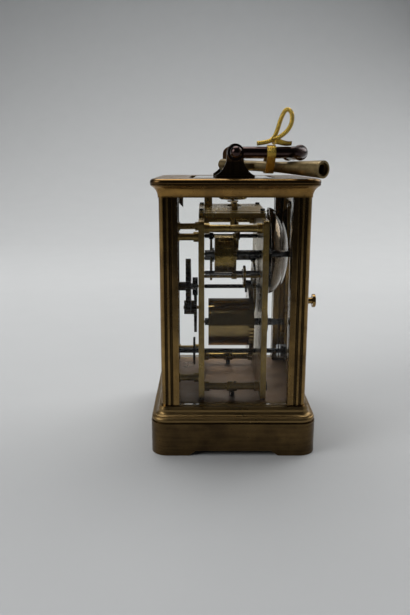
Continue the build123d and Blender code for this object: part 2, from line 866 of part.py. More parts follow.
def polar(middle, radius, turn):
    return (middle[0] + radius * cos(radians(turn)), middle[1] + radius * sin(radians(turn)))


# Teeth: half widths at foot and tip as shares of one tooth's turn, rise and root as shares of the module
wheel_tooth_shares = (0.27, 0.09, 0.8, 1.2)
leaf_shares = (0.17, 0.1, 0.5, 1.3)


def tooth_points(teeth, module, turn, shares):
    foot, tip, rise, root = shares
    pitch_radius = teeth * module / 2
    corners = (
        (pitch_radius - root * module, -foot),
        (pitch_radius + rise * module, -tip),
        (pitch_radius + rise * module, tip),
        (pitch_radius - root * module, foot),
    )
    step = 360 / teeth
    points = []
    for tooth in range(teeth):
        for radius, side in corners:
            points.append(polar((0, 0), radius, turn + step * (tooth + side)))
    return points


# A solid toothed disc, or a wheel crossed out to a rim, spokes and a hub
def toothed(place, rear, thickness, teeth, module, turn, shares, bore, crossed=False):
    rim = wheel_rim_share * teeth * module / 2
    hub = wheel_hub_share * teeth * module / 2
    with BuildSketch(across(place, rear)) as face:
        with BuildLine():
            Polyline(*tooth_points(teeth, module, turn, shares), close=True)
        make_face()
        if crossed:
            Circle(rim, mode=Mode.SUBTRACT)
            Circle(hub)
            for spoke in range(wheel_spokes // 2):
                turn = spoke * 360 / wheel_spokes
                Rectangle(rim + rim / wheel_rim_share, wheel_spoke_width, rotation=turn)
        if bore:
            Circle(bore, mode=Mode.SUBTRACT)
    extrude(face.sketch, amount=thickness)


# A saw-toothed disc, for ratchets and escape wheels
def saw_disc(plane, teeth, radius, depth, thickness, bore):
    step = 360 / teeth
    points = []
    for tooth in range(teeth):
        points.append(polar((0, 0), radius, tooth * step))
        points.append(polar((0, 0), radius - depth, tooth * step))
    with BuildSketch(plane) as face:
        with BuildLine():
            Polyline(*points, close=True)
        make_face()
        if bore:
            Circle(bore, mode=Mode.SUBTRACT)
    extrude(face.sketch, amount=thickness)


# An arbor between the plates, thinned to a pivot at each end
def pivoted(place, radius):
    bar(place, front_outer, back_outer, pivot_radius)
    bar(place, front_inner + arbor_shoulder, back_inner - arbor_shoulder, radius)


# Movement plates
pivot_hole = pivot_radius + running_gap
front_holes = [(spot, pivot_hole) for spot in (centre, barrel, third, contrate, alarm, scape, hammer_spot)]
front_holes.append((alarm_set, alarm_set_radius + running_gap))
back_holes = [(spot, pivot_hole) for spot in (centre, third, contrate, scape)]
back_holes.append((barrel, winding_radius + running_gap))
back_holes.append((alarm, alarm_winding_radius + running_gap))
back_holes.append((hammer_spot, arbor_radius + running_gap))
back_holes.append((alarm_set, alarm_set_radius + running_gap))
platform_screw_x = (platform_left + platform_screw_place, platform_right - platform_screw_place)
platform_screw_y = (front_inner - plate_thickness / 2, back_inner + plate_thickness / 2)
screw_bite = 2 * platform_thickness


def movement_plate(rear, holes, screw_y):
    with BuildSketch(across((0, base_top + plate_height / 2), rear)) as face:
        RectangleRounded(plate_width, plate_height, plate_corner)
    extrude(face.sketch, amount=plate_thickness)
    for spot, radius in holes:
        bar(spot, rear - plate_thickness, rear, radius, Mode.SUBTRACT)
    for screw_x in platform_screw_x:
        screw_hole = plate_screw_radius / 2 + seat_gap
        upright((screw_x, screw_y), plate_top - screw_bite, plate_top, screw_hole, Mode.SUBTRACT)


with BuildPart() as front_plate:
    movement_plate(front_inner, front_holes, platform_screw_y[0])
    stud_front = minute_wheel_rear - motion_thickness - minute_pinion_length - side_gap
    bar(minute_place, stud_front, front_outer, minute_stud_radius)
keep(front_plate.part, "front_plate")

with BuildPart() as back_plate:
    movement_plate(back_outer, back_holes, platform_screw_y[1])
    for spot in plate_pillar_spots:
        bar(spot, back_inner, back_outer, plate_screw_radius + seat_gap, Mode.SUBTRACT)
keep(back_plate.part, "back_plate")

# Plate pillars, waisted, drilled for the plate screws, and the lower two for the screws from the base
waist_share = 0.72
screw_bite_share = 1.5
pillar_end = plate_pillar_radius
plate_screw_bite = screw_bite_share * plate_thickness
with BuildPart() as plate_pillars:
    for spot in plate_pillar_spots:
        bar(spot, front_inner, front_inner + pillar_end, plate_pillar_radius)
        bar(spot, front_inner + pillar_end, back_inner - pillar_end, plate_pillar_radius * waist_share)
        bar(spot, back_inner - pillar_end, back_inner, plate_pillar_radius)
        bar(spot, back_inner - plate_screw_bite, back_inner, plate_screw_radius + seat_gap, Mode.SUBTRACT)
        if spot[1] == pillar_heights[0]:
            middle_y = (front_inner + back_inner) / 2
            bar(spot, middle_y - pillar_end, middle_y + pillar_end, plate_pillar_radius)
            top = base_top + plate_pillar_low + movement_screw_reach
            bolt_hole = movement_screw_radius + seat_gap
            upright((spot[0], middle_y), base_top, top + seat_gap, bolt_hole, Mode.SUBTRACT)
keep(plate_pillars.part, "plate_pillars")

# Dial with holes for the hands, on four feet
with BuildPart() as dial:
    with BuildSketch(across((0, middle_height), dial_back)):
        RectangleRounded(opening_width - 2 * dial_margin, pillar_height - 2 * dial_margin, dial_corner)
    extrude(amount=dial_thickness)
    chamfer(dial.faces().sort_by(Axis.Y)[0].edges(), dial_bevel)
    bar(centre, dial_front, dial_back, hour_pipe_radius + side_gap, Mode.SUBTRACT)
    bar(alarm_set, dial_front, dial_back, alarm_set_radius + side_gap, Mode.SUBTRACT)
keep(dial.part, "dial")

foot_neck_share = 0.7
with BuildPart() as dial_feet:
    for spot in dial_foot_spots:
        bar(spot, dial_back, front_outer, dial_foot_radius * foot_neck_share)
        bar(spot, dial_back, dial_back + dial_foot_radius, dial_foot_radius)
        bar(spot, front_outer - dial_foot_radius, front_outer, dial_foot_radius)
keep(dial_feet.part, "dial_feet")


# A hand: boss, tapering blade with a pierced ring, and a fine point
def hand(place, rear, length, turn, boss, bore):
    root = hand_root_width / 2
    tip = hand_tip_width / 2
    with BuildSketch(across(place, rear, turn)) as face:
        with BuildLine():
            Polyline((0, -root), (length, -tip), (length, tip), (0, root), close=True)
        make_face()
        Circle(boss)
        with Locations((length * hand_ring_share, 0)):
            Circle(hand_ring_radius)
            Circle(hand_ring_hole, mode=Mode.SUBTRACT)
        Circle(bore, mode=Mode.SUBTRACT)
    extrude(face.sketch, amount=hand_thickness)


hour_hand_rear = dial_front - hand_gap
hour_hand_front = hour_hand_rear - hand_thickness
minute_hand_rear = hour_hand_front - hand_gap
minute_hand_front = minute_hand_rear - hand_thickness
with BuildPart() as hour_hand:
    hour_boss = hand_boss_radius * hour_pipe_radius / cannon_pipe_radius
    hand(centre, hour_hand_rear, hour_hand_length, hour_hand_turn, hour_boss, hour_pipe_radius + seat_gap)
keep(hour_hand.part, "hour_hand")

with BuildPart() as minute_hand:
    bore = cannon_pipe_radius + seat_gap
    hand(centre, minute_hand_rear, minute_hand_length, minute_hand_turn, hand_boss_radius, bore)
keep(minute_hand.part, "minute_hand")

with BuildPart() as alarm_hand:
    bore = alarm_set_radius + seat_gap
    hand(alarm_set, hour_hand_rear, alarm_hand_length, alarm_hand_turn, hand_boss_radius, bore)
keep(alarm_hand.part, "alarm_hand")

# Centre arbor with its pinion, the centre wheel, and the cannon pinion that carries the minute hand
great_front = great_rear - great_thickness
great_turn = angle_to(barrel, centre)
with BuildPart() as centre_arbor:
    bar(centre, minute_hand_front - side_gap, back_outer, pivot_radius)
    bar(centre, front_inner + arbor_shoulder, back_inner - arbor_shoulder, arbor_radius)
    pinion_rear = great_rear + pinion_overlap
    pinion_length = great_thickness + 2 * pinion_overlap
    pinion_turn = great_turn + 180 + 180 / centre_leaves
    toothed(centre, pinion_rear, pinion_length, centre_leaves, great_module, pinion_turn, leaf_shares, 0)
keep(centre_arbor.part, "centre_arbor")

wheel_bore = arbor_radius + seat_gap
third_turn = angle_to(centre, third)
with BuildPart() as centre_wheel:
    toothed(
        centre,
        centre_wheel_rear,
        wheel_thickness,
        centre_teeth,
        centre_module,
        third_turn,
        wheel_tooth_shares,
        wheel_bore,
        True,
    )
keep(centre_wheel.part, "centre_wheel")

minute_turn = angle_to(centre, minute_place)
with BuildPart() as cannon_pinion:
    bar(centre, minute_hand_front, cannon_rear, cannon_pipe_radius)
    cannon_turn = minute_turn + 180 / cannon_leaves
    toothed(centre, cannon_rear, cannon_length, cannon_leaves, motion_module, cannon_turn, leaf_shares, 0)
    bar(centre, minute_hand_front, cannon_rear, pivot_radius + seat_gap, Mode.SUBTRACT)
keep(cannon_pinion.part, "cannon_pinion")

# Minute wheel and its pinion on the stud of the front plate
with BuildPart() as minute_wheel:
    wheel_turn = minute_turn + 180
    toothed(
        minute_place,
        minute_wheel_rear,
        motion_thickness,
        minute_teeth,
        motion_module,
        wheel_turn,
        wheel_tooth_shares,
        0,
        True,
    )
    minute_pinion_rear = minute_wheel_rear - motion_thickness
    leaf_turn = minute_turn + 180 + 180 / minute_leaves
    toothed(
        minute_place,
        minute_pinion_rear,
        minute_pinion_length,
        minute_leaves,
        motion_module,
        leaf_turn,
        leaf_shares,
        0,
    )
    wheel_front = minute_pinion_rear - minute_pinion_length
    bar(minute_place, wheel_front, minute_wheel_rear, minute_stud_radius + running_gap, Mode.SUBTRACT)
keep(minute_wheel.part, "minute_wheel")

# Hour wheel on its pipe, which carries the hour hand
with BuildPart() as hour_wheel:
    toothed(
        centre,
        hour_wheel_rear,
        motion_thickness,
        hour_teeth,
        motion_module,
        minute_turn,
        wheel_tooth_shares,
        0,
        True,
    )
    bar(centre, hour_hand_front, hour_wheel_rear, hour_pipe_radius)
    bar(centre, hour_hand_front, hour_wheel_rear, cannon_pipe_radius + running_gap, Mode.SUBTRACT)
keep(hour_wheel.part, "hour_wheel")

# Going barrel: hollow drum with the great wheel as its rear wall, and a cap in front
with BuildPart() as going_barrel:
    great_size = (great_thickness, great_teeth, great_module, great_turn)
    toothed(barrel, great_rear, *great_size, wheel_tooth_shares, 0)
    bar(barrel, drum_front + drum_cap, great_front, drum_radius)
    bar(barrel, drum_front + drum_cap, great_front, drum_radius - drum_wall, Mode.SUBTRACT)
    bar(barrel, great_front, great_rear, winding_radius + running_gap, Mode.SUBTRACT)
keep(going_barrel.part, "going_barrel")

with BuildPart() as barrel_cap:
    bar(barrel, drum_front, drum_front + drum_cap, drum_radius)
    bar(barrel, drum_front, drum_front + drum_cap, winding_radius + running_gap, Mode.SUBTRACT)
keep(barrel_cap.part, "barrel_cap")


# A flat spiral of half turns, as (middle, radius, start angle)
def spiral(core, pitch, turns):
    halves = []
    for half in range(2 * turns):
        shift = pitch / 2 if half % 2 else 0
        halves.append((shift, core + half * pitch / 2, 180 * (half % 2)))
    return halves


def spiral_gap(core, pitch, turns, strip):
    radii = [radius - shift for shift, radius, start in spiral(core, pitch, turns)]
    return min(after - before for before, after in zip(radii, radii[2:])) - strip


mainspring_gap = spiral_gap(mainspring_core, mainspring_pitch, mainspring_turns, mainspring_strip)
print("mainspring gap", round(mainspring_gap, 2))
hairspring_gap = spiral_gap(hairspring_core, hairspring_pitch, hairspring_turns, hairspring_strip)
print("hairspring gap", round(hairspring_gap, 2))
spring_room = great_front - drum_front - drum_cap
spring_middle = (great_front + drum_front + drum_cap) / 2
with BuildPart() as mainspring:
    with BuildLine(across(barrel, spring_middle)) as coil:
        for shift, radius, start in spiral(mainspring_core, mainspring_pitch, mainspring_turns):
            CenterArc((shift, 0), radius, start, 180)
    with BuildSketch(Plane(origin=coil.line @ 0, x_dir=(0, 1, 0), z_dir=coil.line % 0)):
        Rectangle(spring_room - 2 * side_gap, mainspring_strip)
    sweep(path=coil.line)
keep(mainspring.part, "mainspring")


# Winding arbor: pivot in front, core inside the drum, ratchet behind the back plate, square for the key
def winding_arbor(place, radius, rear, core_front, core_rear, core_radius, disc_radius):
    bar(place, front_outer, front_inner + arbor_shoulder, pivot_radius)
    bar(place, front_inner + arbor_shoulder, rear - winding_square_length, radius)
    bar(place, core_front, core_rear, core_radius)
    saw_disc(
        across(place, back_outer + ratchet_gap + ratchet_thickness),
        ratchet_teeth,
        disc_radius,
        ratchet_depth,
        ratchet_thickness,
        0,
    )
    with BuildSketch(across(place, rear)) as square:
        Rectangle(winding_square, winding_square)
    extrude(square.sketch, amount=winding_square_length)


with BuildPart() as winding_arbor_piece:
    core_front = drum_front + drum_cap + side_gap
    core_rear = great_front - side_gap
    core = (core_front, core_rear, winding_core_radius)
    winding_arbor(barrel, winding_radius, winding_rear, *core, ratchet_radius)
keep(winding_arbor_piece.part, "winding_arbor")


# Click: a pawl on a stud of the back plate, its tip just clear of the ratchet's teeth
def click_ends(axle, disc_radius, turn):
    tip = polar(axle, disc_radius + click_gap, turn)
    root = polar(tip, click_length, turn + 90)
    return tip, root


click_front = back_outer + ratchet_gap
click_rear = click_front + click_thickness


def click(axle, disc_radius, turn):
    tip, root = click_ends(axle, disc_radius, turn)
    nose = polar(tip, click_radius / 2, turn)
    heel = polar(root, click_radius, turn)
    with BuildSketch(across((0, 0), click_rear)) as face:
        with Locations(root):
            Circle(click_radius)
        with BuildLine():
            Polyline(tip, nose, heel, polar(root, click_radius, turn + 180), close=True)
        make_face()
        with Locations(root):
            Circle(click_stud_radius + running_gap, mode=Mode.SUBTRACT)
    extrude(face.sketch, amount=click_thickness)


with BuildPart() as winding_click:
    click(barrel, ratchet_radius, winding_click_turn)
keep(winding_click.part, "winding_click")

with BuildPart() as alarm_click:
    click(alarm, alarm_ratchet_radius, alarm_click_turn)
keep(alarm_click.part, "alarm_click")

# Studs and blade springs of the two clicks, on the back plate


def click_spring(axle, disc_radius, turn):
    tip, root = click_ends(axle, disc_radius, turn)
    bar(root, back_outer, click_rear + side_gap, click_stud_radius)
    foot = polar(polar(root, click_length * blade_share, turn + 90), click_radius + blade_gap, turn)
    blade_end = polar(polar(root, -click_length * blade_share, turn + 90), click_radius + blade_gap, turn)
    bar(foot, back_outer, click_rear, spring_foot_radius)
    middle = ((foot[0] + blade_end[0]) / 2, (foot[1] + blade_end[1]) / 2)
    with BuildSketch(across(middle, click_rear)) as blade:
        Rectangle(2 * click_length * blade_share, blade_thickness, rotation=turn + 90)
    extrude(blade.sketch, amount=click_thickness - side_gap)


with BuildPart() as click_springs:
    click_spring(barrel, ratchet_radius, winding_click_turn)
    click_spring(alarm, alarm_ratchet_radius, alarm_click_turn)
keep(click_springs.part, "click_springs")

# Third arbor and wheel
contrate_turn = angle_to(third, contrate)
with BuildPart() as third_arbor:
    pivoted(third, arbor_radius)
    leaf_turn = third_turn + 180 + 180 / third_leaves
    third_pinion_rear = centre_wheel_rear + pinion_overlap
    third_pinion_length = wheel_thickness + 2 * pinion_overlap
    leaves = (third_leaves, centre_module, leaf_turn, leaf_shares)
    toothed(third, third_pinion_rear, third_pinion_length, *leaves, 0)
    bar(third, third_wheel_rear, third_wheel_rear + collet_length, collet_radius)
keep(third_arbor.part, "third_arbor")

with BuildPart() as third_wheel:
    toothed(
        third,
        third_wheel_rear,
        wheel_thickness,
        third_teeth,
        third_module,
        contrate_turn,
        wheel_tooth_shares,
        wheel_bore,
        True,
    )
keep(third_wheel.part, "third_wheel")

# Contrate arbor and its crown wheel
with BuildPart() as contrate_arbor:
    pivoted(contrate, arbor_radius)
    leaf_turn = contrate_turn + 180 + 180 / contrate_leaves
    leaf_rear = third_wheel_rear + pinion_overlap
    leaf_length = wheel_thickness + 2 * pinion_overlap
    toothed(contrate, leaf_rear, leaf_length, contrate_leaves, third_module, leaf_turn, leaf_shares, 0)
    bar(contrate, contrate_rear, contrate_rear + collet_length, collet_radius)
keep(contrate_arbor.part, "contrate_arbor")

crown_rear = contrate_rear - contrate_web
crown_front = crown_rear - contrate_tooth_height
crown_middle = contrate_radius - contrate_rim / 2
crown_pitch = 2 * pi * crown_middle / contrate_teeth
with BuildPart() as contrate_wheel:
    with BuildSketch(across(contrate, contrate_rear)):
        Circle(contrate_radius)
        Circle(contrate_radius - contrate_rim, mode=Mode.SUBTRACT)
        Circle(wheel_hub_share * contrate_radius)
        for spoke in range(wheel_spokes // 2):
            turn = 45 + spoke * 360 / wheel_spokes
            Rectangle(2 * crown_middle, wheel_spoke_width, rotation=turn)
        Circle(wheel_bore, mode=Mode.SUBTRACT)
    extrude(amount=contrate_web)
    with BuildSketch(across(contrate, crown_rear)):
        with PolarLocations(crown_middle, contrate_teeth, start_angle=90):
            Rectangle(contrate_rim, contrate_tooth_share * crown_pitch)
    extrude(amount=contrate_tooth_height)
keep(contrate_wheel.part, "contrate_wheel")

# Platform on top of the plates, with a potence below it that holds the escape arbor's lower pivot
platform_bottom = plate_top
platform_top = platform_bottom + platform_thickness
escape_module = crown_pitch / pi
escape_pitch_radius = escape_leaves * escape_module / 2
leaf_rise = leaf_shares[2] * escape_module
crown_depth_share = 0.42
escape_y = crown_front + crown_depth_share * contrate_tooth_height - escape_pitch_radius - leaf_rise
escape_spot = (0, escape_y)
crown_top = contrate[1] + crown_middle
pinion_bottom = crown_top - contrate_rim / 2 - pinion_overlap
pinion_top = crown_top + contrate_rim / 2 + pinion_overlap
potence_top = pinion_bottom - side_gap
potence_bottom = potence_top - potence_thickness
potence_x = 2 * escape_pitch_radius + potence_thickness
lever_spot = (lever_place, escape_y)
balance_spot = (balance_place, escape_y)
staff_pivot = balance_staff_radius / 2
platform_depth = back_outer - front_outer
platform_middle = ((platform_left + platform_right) / 2, (front_outer + back_outer) / 2)
pivot_sink = platform_thickness / 2
bridge_right = 2 * escape_wheel_radius + bridge_width / 2
bridge_foot_x = bridge_right - bridge_width / 2
cock_back = escape_y - balance_radius - 2 * cock_foot
cock_screw_spot = (balance_place, cock_back + cock_foot / 2)
with BuildPart() as platform:
    with BuildSketch(Plane.XY.offset(platform_bottom)):
        with Locations(platform_middle):
            Rectangle(platform_right - platform_left, platform_depth)
    extrude(amount=platform_thickness)
    upright(escape_spot, platform_bottom, platform_top, 2 * escape_pitch_radius, Mode.SUBTRACT)
    for spot in (lever_spot, balance_spot):
        upright(spot, platform_top - pivot_sink, platform_top, staff_pivot + running_gap, Mode.SUBTRACT)
    for screw_x in platform_screw_x:
        for screw_y in platform_screw_y:
            hole = plate_screw_radius / 2 + seat_gap
            upright((screw_x, screw_y), platform_bottom, platform_top, hole, Mode.SUBTRACT)
    for spot in (cock_screw_spot, (bridge_foot_x, escape_y)):
        upright(spot, platform_bottom, platform_top, plate_screw_radius / 2 + seat_gap, Mode.SUBTRACT)
    leg_rear = crown_front - side_gap
    leg_front = leg_rear - 2 * potence_thickness
    leg_middle = (leg_front + leg_rear) / 2
    with BuildSketch(Plane.XY.offset(potence_bottom)):
        with Locations((potence_x, leg_middle)):
            Rectangle(potence_thickness, leg_rear - leg_front)
    extrude(amount=platform_bottom - potence_bottom)
    with BuildSketch(Plane.XY.offset(potence_bottom)):
        with Locations((potence_x / 2, leg_middle)):
            Rectangle(potence_x + potence_thickness, leg_rear - leg_front)
        with Locations(escape_spot):
            Circle(potence_thickness)
    extrude(amount=potence_thickness)
    upright(escape_spot, potence_bottom, potence_top, staff_pivot + running_gap, Mode.SUBTRACT)
keep(platform.part, "platform")

# Escape arbor with its leaves under the platform and the escape wheel above it
escape_wheel_bottom = platform_top + escape_wheel_lift
bridge_bottom = platform_top + bridge_lift
bridge_top = bridge_bottom + bridge_thickness
escape_core = escape_pitch_radius - leaf_shares[3] * escape_module
with BuildPart() as escape_arbor:
    upright(escape_spot, potence_bottom, bridge_top, staff_pivot)
    upright(escape_spot, pinion_bottom, bridge_bottom - side_gap, escape_core)
    leaf_points = tooth_points(escape_leaves, escape_module, 90 + 180 / escape_leaves, leaf_shares)
    with BuildSketch(Plane(origin=(0, escape_y, pinion_bottom))):
        with BuildLine():
            Polyline(*leaf_points, close=True)
        make_face()
    extrude(amount=pinion_top - pinion_bottom)
keep(escape_arbor.part, "escape_arbor")

with BuildPart() as escape_wheel:
    wheel_plane = Plane(origin=(0, escape_y, escape_wheel_bottom))
    saw_disc(
        wheel_plane,
        escape_wheel_teeth,
        escape_wheel_radius,
        escape_tooth_depth,
        escape_wheel_thickness,
        escape_core + seat_gap,
    )
keep(escape_wheel.part, "escape_wheel")

# Lever: two pallet arms beside the escape wheel, and a fork towards the balance
pallet_ring = escape_wheel_radius + pallet_drop
pallet_sides = lever_place**2 + pallet_ring**2 - pallet_span**2
pallet_angle = degrees(acos(pallet_sides / (2 * abs(lever_place) * pallet_ring)))
with BuildPart() as lever:
    lever_bottom = escape_wheel_bottom
    upright(lever_spot, platform_top - pivot_sink, bridge_top, staff_pivot)
    with BuildSketch(Plane.XY.offset(lever_bottom)):
        with Locations(lever_spot):
            Circle(lever_width)
        for side in (-1, 1):
            tip = polar(escape_spot, pallet_ring, 180 + side * pallet_angle)
            middle = ((tip[0] + lever_spot[0]) / 2, (tip[1] + lever_spot[1]) / 2)
            with Locations(middle):
                Rectangle(pallet_span, lever_width, rotation=angle_to(lever_spot, tip))
        fork_x = lever_place - lever_fork_length
        with Locations(((lever_place + fork_x) / 2, escape_y)):
            Rectangle(lever_fork_length, lever_width)
        with Locations((fork_x, escape_y)):
            Rectangle(lever_width, lever_fork_width)
            Rectangle(lever_width, lever_width, mode=Mode.SUBTRACT)
    extrude(amount=lever_thickness)
keep(lever.part, "lever")

# Bridge over the escape wheel and the lever
with BuildPart() as escape_bridge:
    bridge_left = lever_place - bridge_width / 2
    with BuildSketch(Plane.XY.offset(bridge_bottom)):
        with Locations(((bridge_left + bridge_right) / 2, escape_y)):
            SlotOverall(bridge_right - bridge_left, bridge_width)
    extrude(amount=bridge_thickness)
    upright((bridge_foot_x, escape_y), platform_top, bridge_bottom, bridge_width / 2)
    for spot in (escape_spot, lever_spot):
        upright(spot, bridge_bottom, bridge_top, staff_pivot + running_gap, Mode.SUBTRACT)
    hole = plate_screw_radius / 2 + seat_gap
    upright((bridge_foot_x, escape_y), platform_top, bridge_top, hole, Mode.SUBTRACT)
keep(escape_bridge.part, "escape_bridge")

# Balance wheel with its staff, roller and rim screws
balance_bottom = platform_top + balance_lift
cock_bottom = platform_top + cock_lift
roller_share = 0.42
roller_bottom = lever_bottom + lever_thickness + side_gap
with BuildPart() as balance_wheel:
    upright(balance_spot, platform_top - pivot_sink, cock_bottom + cock_thickness / 2, staff_pivot)
    upright(balance_spot, platform_top + side_gap, cock_bottom - side_gap, balance_staff_radius)
    upright(balance_spot, roller_bottom, roller_bottom + lever_thickness, roller_share * balance_radius)
    with BuildSketch(Plane(origin=(balance_place, escape_y, balance_bottom))):
        Circle(balance_radius)
        Circle(balance_radius - balance_rim, mode=Mode.SUBTRACT)
        Rectangle(2 * balance_radius - balance_rim, balance_spoke_width)
    extrude(amount=balance_thickness)
    rim_middle = balance_bottom + balance_thickness / 2
    for screw in range(balance_screws):
        turn = (screw + 0.5) * 360 / balance_screws
        spot = polar(balance_spot, balance_radius - balance_rim / 2, turn)
        outward = (cos(radians(turn)), sin(radians(turn)), 0)
        with BuildSketch(Plane(origin=(spot[0], spot[1], rim_middle), z_dir=outward)):
            RegularPolygon(balance_screw_radius, 6)
        extrude(amount=balance_rim / 2 + balance_screw_length)
keep(balance_wheel.part, "balance_wheel")

with BuildPart() as hairspring:
    hairspring_z = platform_top + hairspring_lift + hairspring_height / 2
    with BuildLine(Plane(origin=(balance_place, escape_y, hairspring_z))) as coil:
        for shift, radius, start in spiral(hairspring_core, hairspring_pitch, hairspring_turns):
            CenterArc((shift, 0), radius, start, 180)
    with BuildSketch(Plane(origin=coil.line @ 0, x_dir=(0, 0, 1), z_dir=coil.line % 0)):
        Rectangle(hairspring_height, hairspring_strip)
    sweep(path=coil.line)
keep(hairspring.part, "hairspring")

# Balance cock: foot, arm over the balance, and the stud that holds the hairspring's outer end
stud_radius = 2 * hairspring_strip
stud_x = balance_place + hairspring_core + hairspring_turns * hairspring_pitch
with BuildPart() as balance_cock:
    with BuildSketch(Plane.XY.offset(cock_bottom)):
        with Locations((balance_place, (cock_back + escape_y) / 2)):
            Rectangle(cock_width, escape_y - cock_back)
        with Locations(balance_spot):
            Circle(cock_width / 2)
        with Locations(((balance_place + stud_x) / 2, escape_y)):
            Rectangle(stud_x - balance_place, 2 * stud_radius)
        with Locations((stud_x, escape_y)):
            Circle(stud_radius)
    extrude(amount=cock_thickness)
    with BuildSketch(Plane.XY.offset(platform_top)):
        with Locations((balance_place, cock_back + cock_foot / 2)):
            Rectangle(cock_width, cock_foot)
    extrude(amount=cock_lift)
    stud_bottom = platform_top + hairspring_lift + hairspring_height + running_gap
    upright((stud_x, escape_y), stud_bottom, cock_bottom, stud_radius)
    cock_top = cock_bottom + cock_thickness
    upright(balance_spot, cock_bottom, cock_top, staff_pivot + running_gap, Mode.SUBTRACT)
    hole = plate_screw_radius / 2 + seat_gap
    upright(cock_screw_spot, platform_top, cock_top, hole, Mode.SUBTRACT)
keep(balance_cock.part, "balance_cock")

# Alarm barrel with its toothed rear wall, and its winding arbor
alarm_turn = angle_to(alarm, scape)
with BuildPart() as alarm_barrel:
    bar(alarm, alarm_drum_front, alarm_drum_rear, alarm_drum_radius)
    alarm_wheel_rear = alarm_drum_rear + alarm_wheel_thickness
    toothed(
        alarm,
        alarm_wheel_rear,
        alarm_wheel_thickness,
        alarm_teeth,
        alarm_module,
        alarm_turn,
        wheel_tooth_shares,
        0,
    )
    bar(alarm, alarm_drum_front, alarm_wheel_rear, alarm_winding_radius + running_gap, Mode.SUBTRACT)
keep(alarm_barrel.part, "alarm_barrel")

with BuildPart() as alarm_winding_arbor:
    collar_rear = alarm_drum_front - side_gap
    winding_arbor(
        alarm,
        alarm_winding_radius,
        alarm_winding_rear,
        collar_rear - collet_length,
        collar_rear,
        winding_core_radius,
        alarm_ratchet_radius,
    )
keep(alarm_winding_arbor.part, "alarm_winding_arbor")

# Alarm escape wheel on its own arbor
with BuildPart() as alarm_escape_wheel:
    pivoted(scape, scape_arbor_radius)
    leaf_turn = alarm_turn + 180 + 180 / alarm_leaves
    leaf_rear = alarm_wheel_rear + pinion_overlap
    leaf_length = alarm_wheel_thickness + 2 * pinion_overlap
    toothed(scape, leaf_rear, leaf_length, alarm_leaves, alarm_module, leaf_turn, leaf_shares, 0)
    saw_disc(across(scape, scape_rear), scape_teeth, scape_radius, scape_tooth_depth, wheel_thickness, 0)
keep(alarm_escape_wheel.part, "alarm_escape_wheel")

# Alarm hammer: arbor with two pallets, arm behind the back plate, and a head inside the bell
arm_front = back_outer + side_gap
arm_rear = arm_front + 2 * hammer_arm_radius
head_spot = polar(hammer_spot, hammer_arm_length, hammer_arm_turn)
with BuildPart() as alarm_hammer:
    bar(hammer_spot, front_outer, front_inner + arbor_shoulder, pivot_radius)
    bar(hammer_spot, front_inner + arbor_shoulder, arm_rear, arbor_radius)
    bar(hammer_spot, arm_front, arm_rear, hammer_hub_radius)
    with BuildSketch(across(hammer_spot, scape_rear)):
        Circle(hammer_hub_radius)
        for side in (-1, 1):
            with Locations(polar((0, 0), pallet_reach / 2, side * pallet_spread)):
                Rectangle(pallet_reach, pallet_width, rotation=side * pallet_spread)
    extrude(amount=wheel_thickness)
    arm_middle = polar(hammer_spot, hammer_arm_length / 2, hammer_arm_turn)
    with BuildSketch(across(arm_middle, arm_rear)):
        Rectangle(hammer_arm_length, 2 * hammer_arm_radius, rotation=hammer_arm_turn)
    extrude(amount=2 * hammer_arm_radius)
    bar(head_spot, arm_front, arm_front + hammer_head_length, hammer_head_radius)
keep(alarm_hammer.part, "alarm_hammer")

# Bell: a dome on a post behind the back plate
bell_apex = bell_rim + bell_depth
bell_stud_radius = 2 * bell_post_radius / 3
with BuildPart() as bell:
    with BuildSketch(Plane(origin=(bell_place, 0, bell_spot[1]))):
        with BuildLine():
            EllipticalCenterArc((0, bell_rim), bell_radius, bell_depth, start_angle=0, arc_size=90)
            Line((0, bell_apex), (0, bell_apex - bell_wall))
            hollow = (bell_radius - bell_wall, bell_depth - bell_wall)
            EllipticalCenterArc((0, bell_rim), *hollow, start_angle=0, arc_size=90)
            Line((bell_radius, bell_rim), (bell_radius - bell_wall, bell_rim))
        make_face()
    revolve(axis=Axis((bell_place, 0, bell_spot[1]), (0, 1, 0)))
    bar(bell_spot, bell_rim, bell_apex + overrun, bell_stud_radius + seat_gap, Mode.SUBTRACT)
keep(bell.part, "bell")

seat_drop = bell_depth - sqrt(1 - (bell_post_radius / bell_radius) ** 2) * bell_depth
bell_seat = bell_apex - bell_wall - seat_drop
nut_front = bell_apex + running_gap
nut_rear = nut_front + bell_nut_thickness
with BuildPart() as bell_stand:
    bar(bell_spot, back_outer, back_outer + bell_foot_thickness, bell_foot_radius)
    bar(bell_spot, back_outer, bell_seat - running_gap, bell_post_radius)
    bar(bell_spot, back_outer, nut_rear, bell_stud_radius)
keep(bell_stand.part, "bell_stand")

# Alarm-setting arbor: hand in front, notched cam behind the dial, milled knob behind the back plate
with BuildPart() as alarm_set_arbor:
    bar(alarm_set, hour_hand_front, alarm_set_rear, alarm_set_radius)
    bar(alarm_set, alarm_cam_rear - alarm_cam_thickness, alarm_cam_rear, alarm_cam_radius)
    notch_spot = polar(alarm_set, alarm_cam_radius, alarm_hand_turn)
    bar(notch_spot, alarm_cam_rear - alarm_cam_thickness, alarm_cam_rear, alarm_cam_notch, Mode.SUBTRACT)
    bar(alarm_set, alarm_set_rear, alarm_set_rear + alarm_set_knob_length, alarm_set_knob_radius)
keep(alarm_set_arbor.part, "alarm_set_arbor")

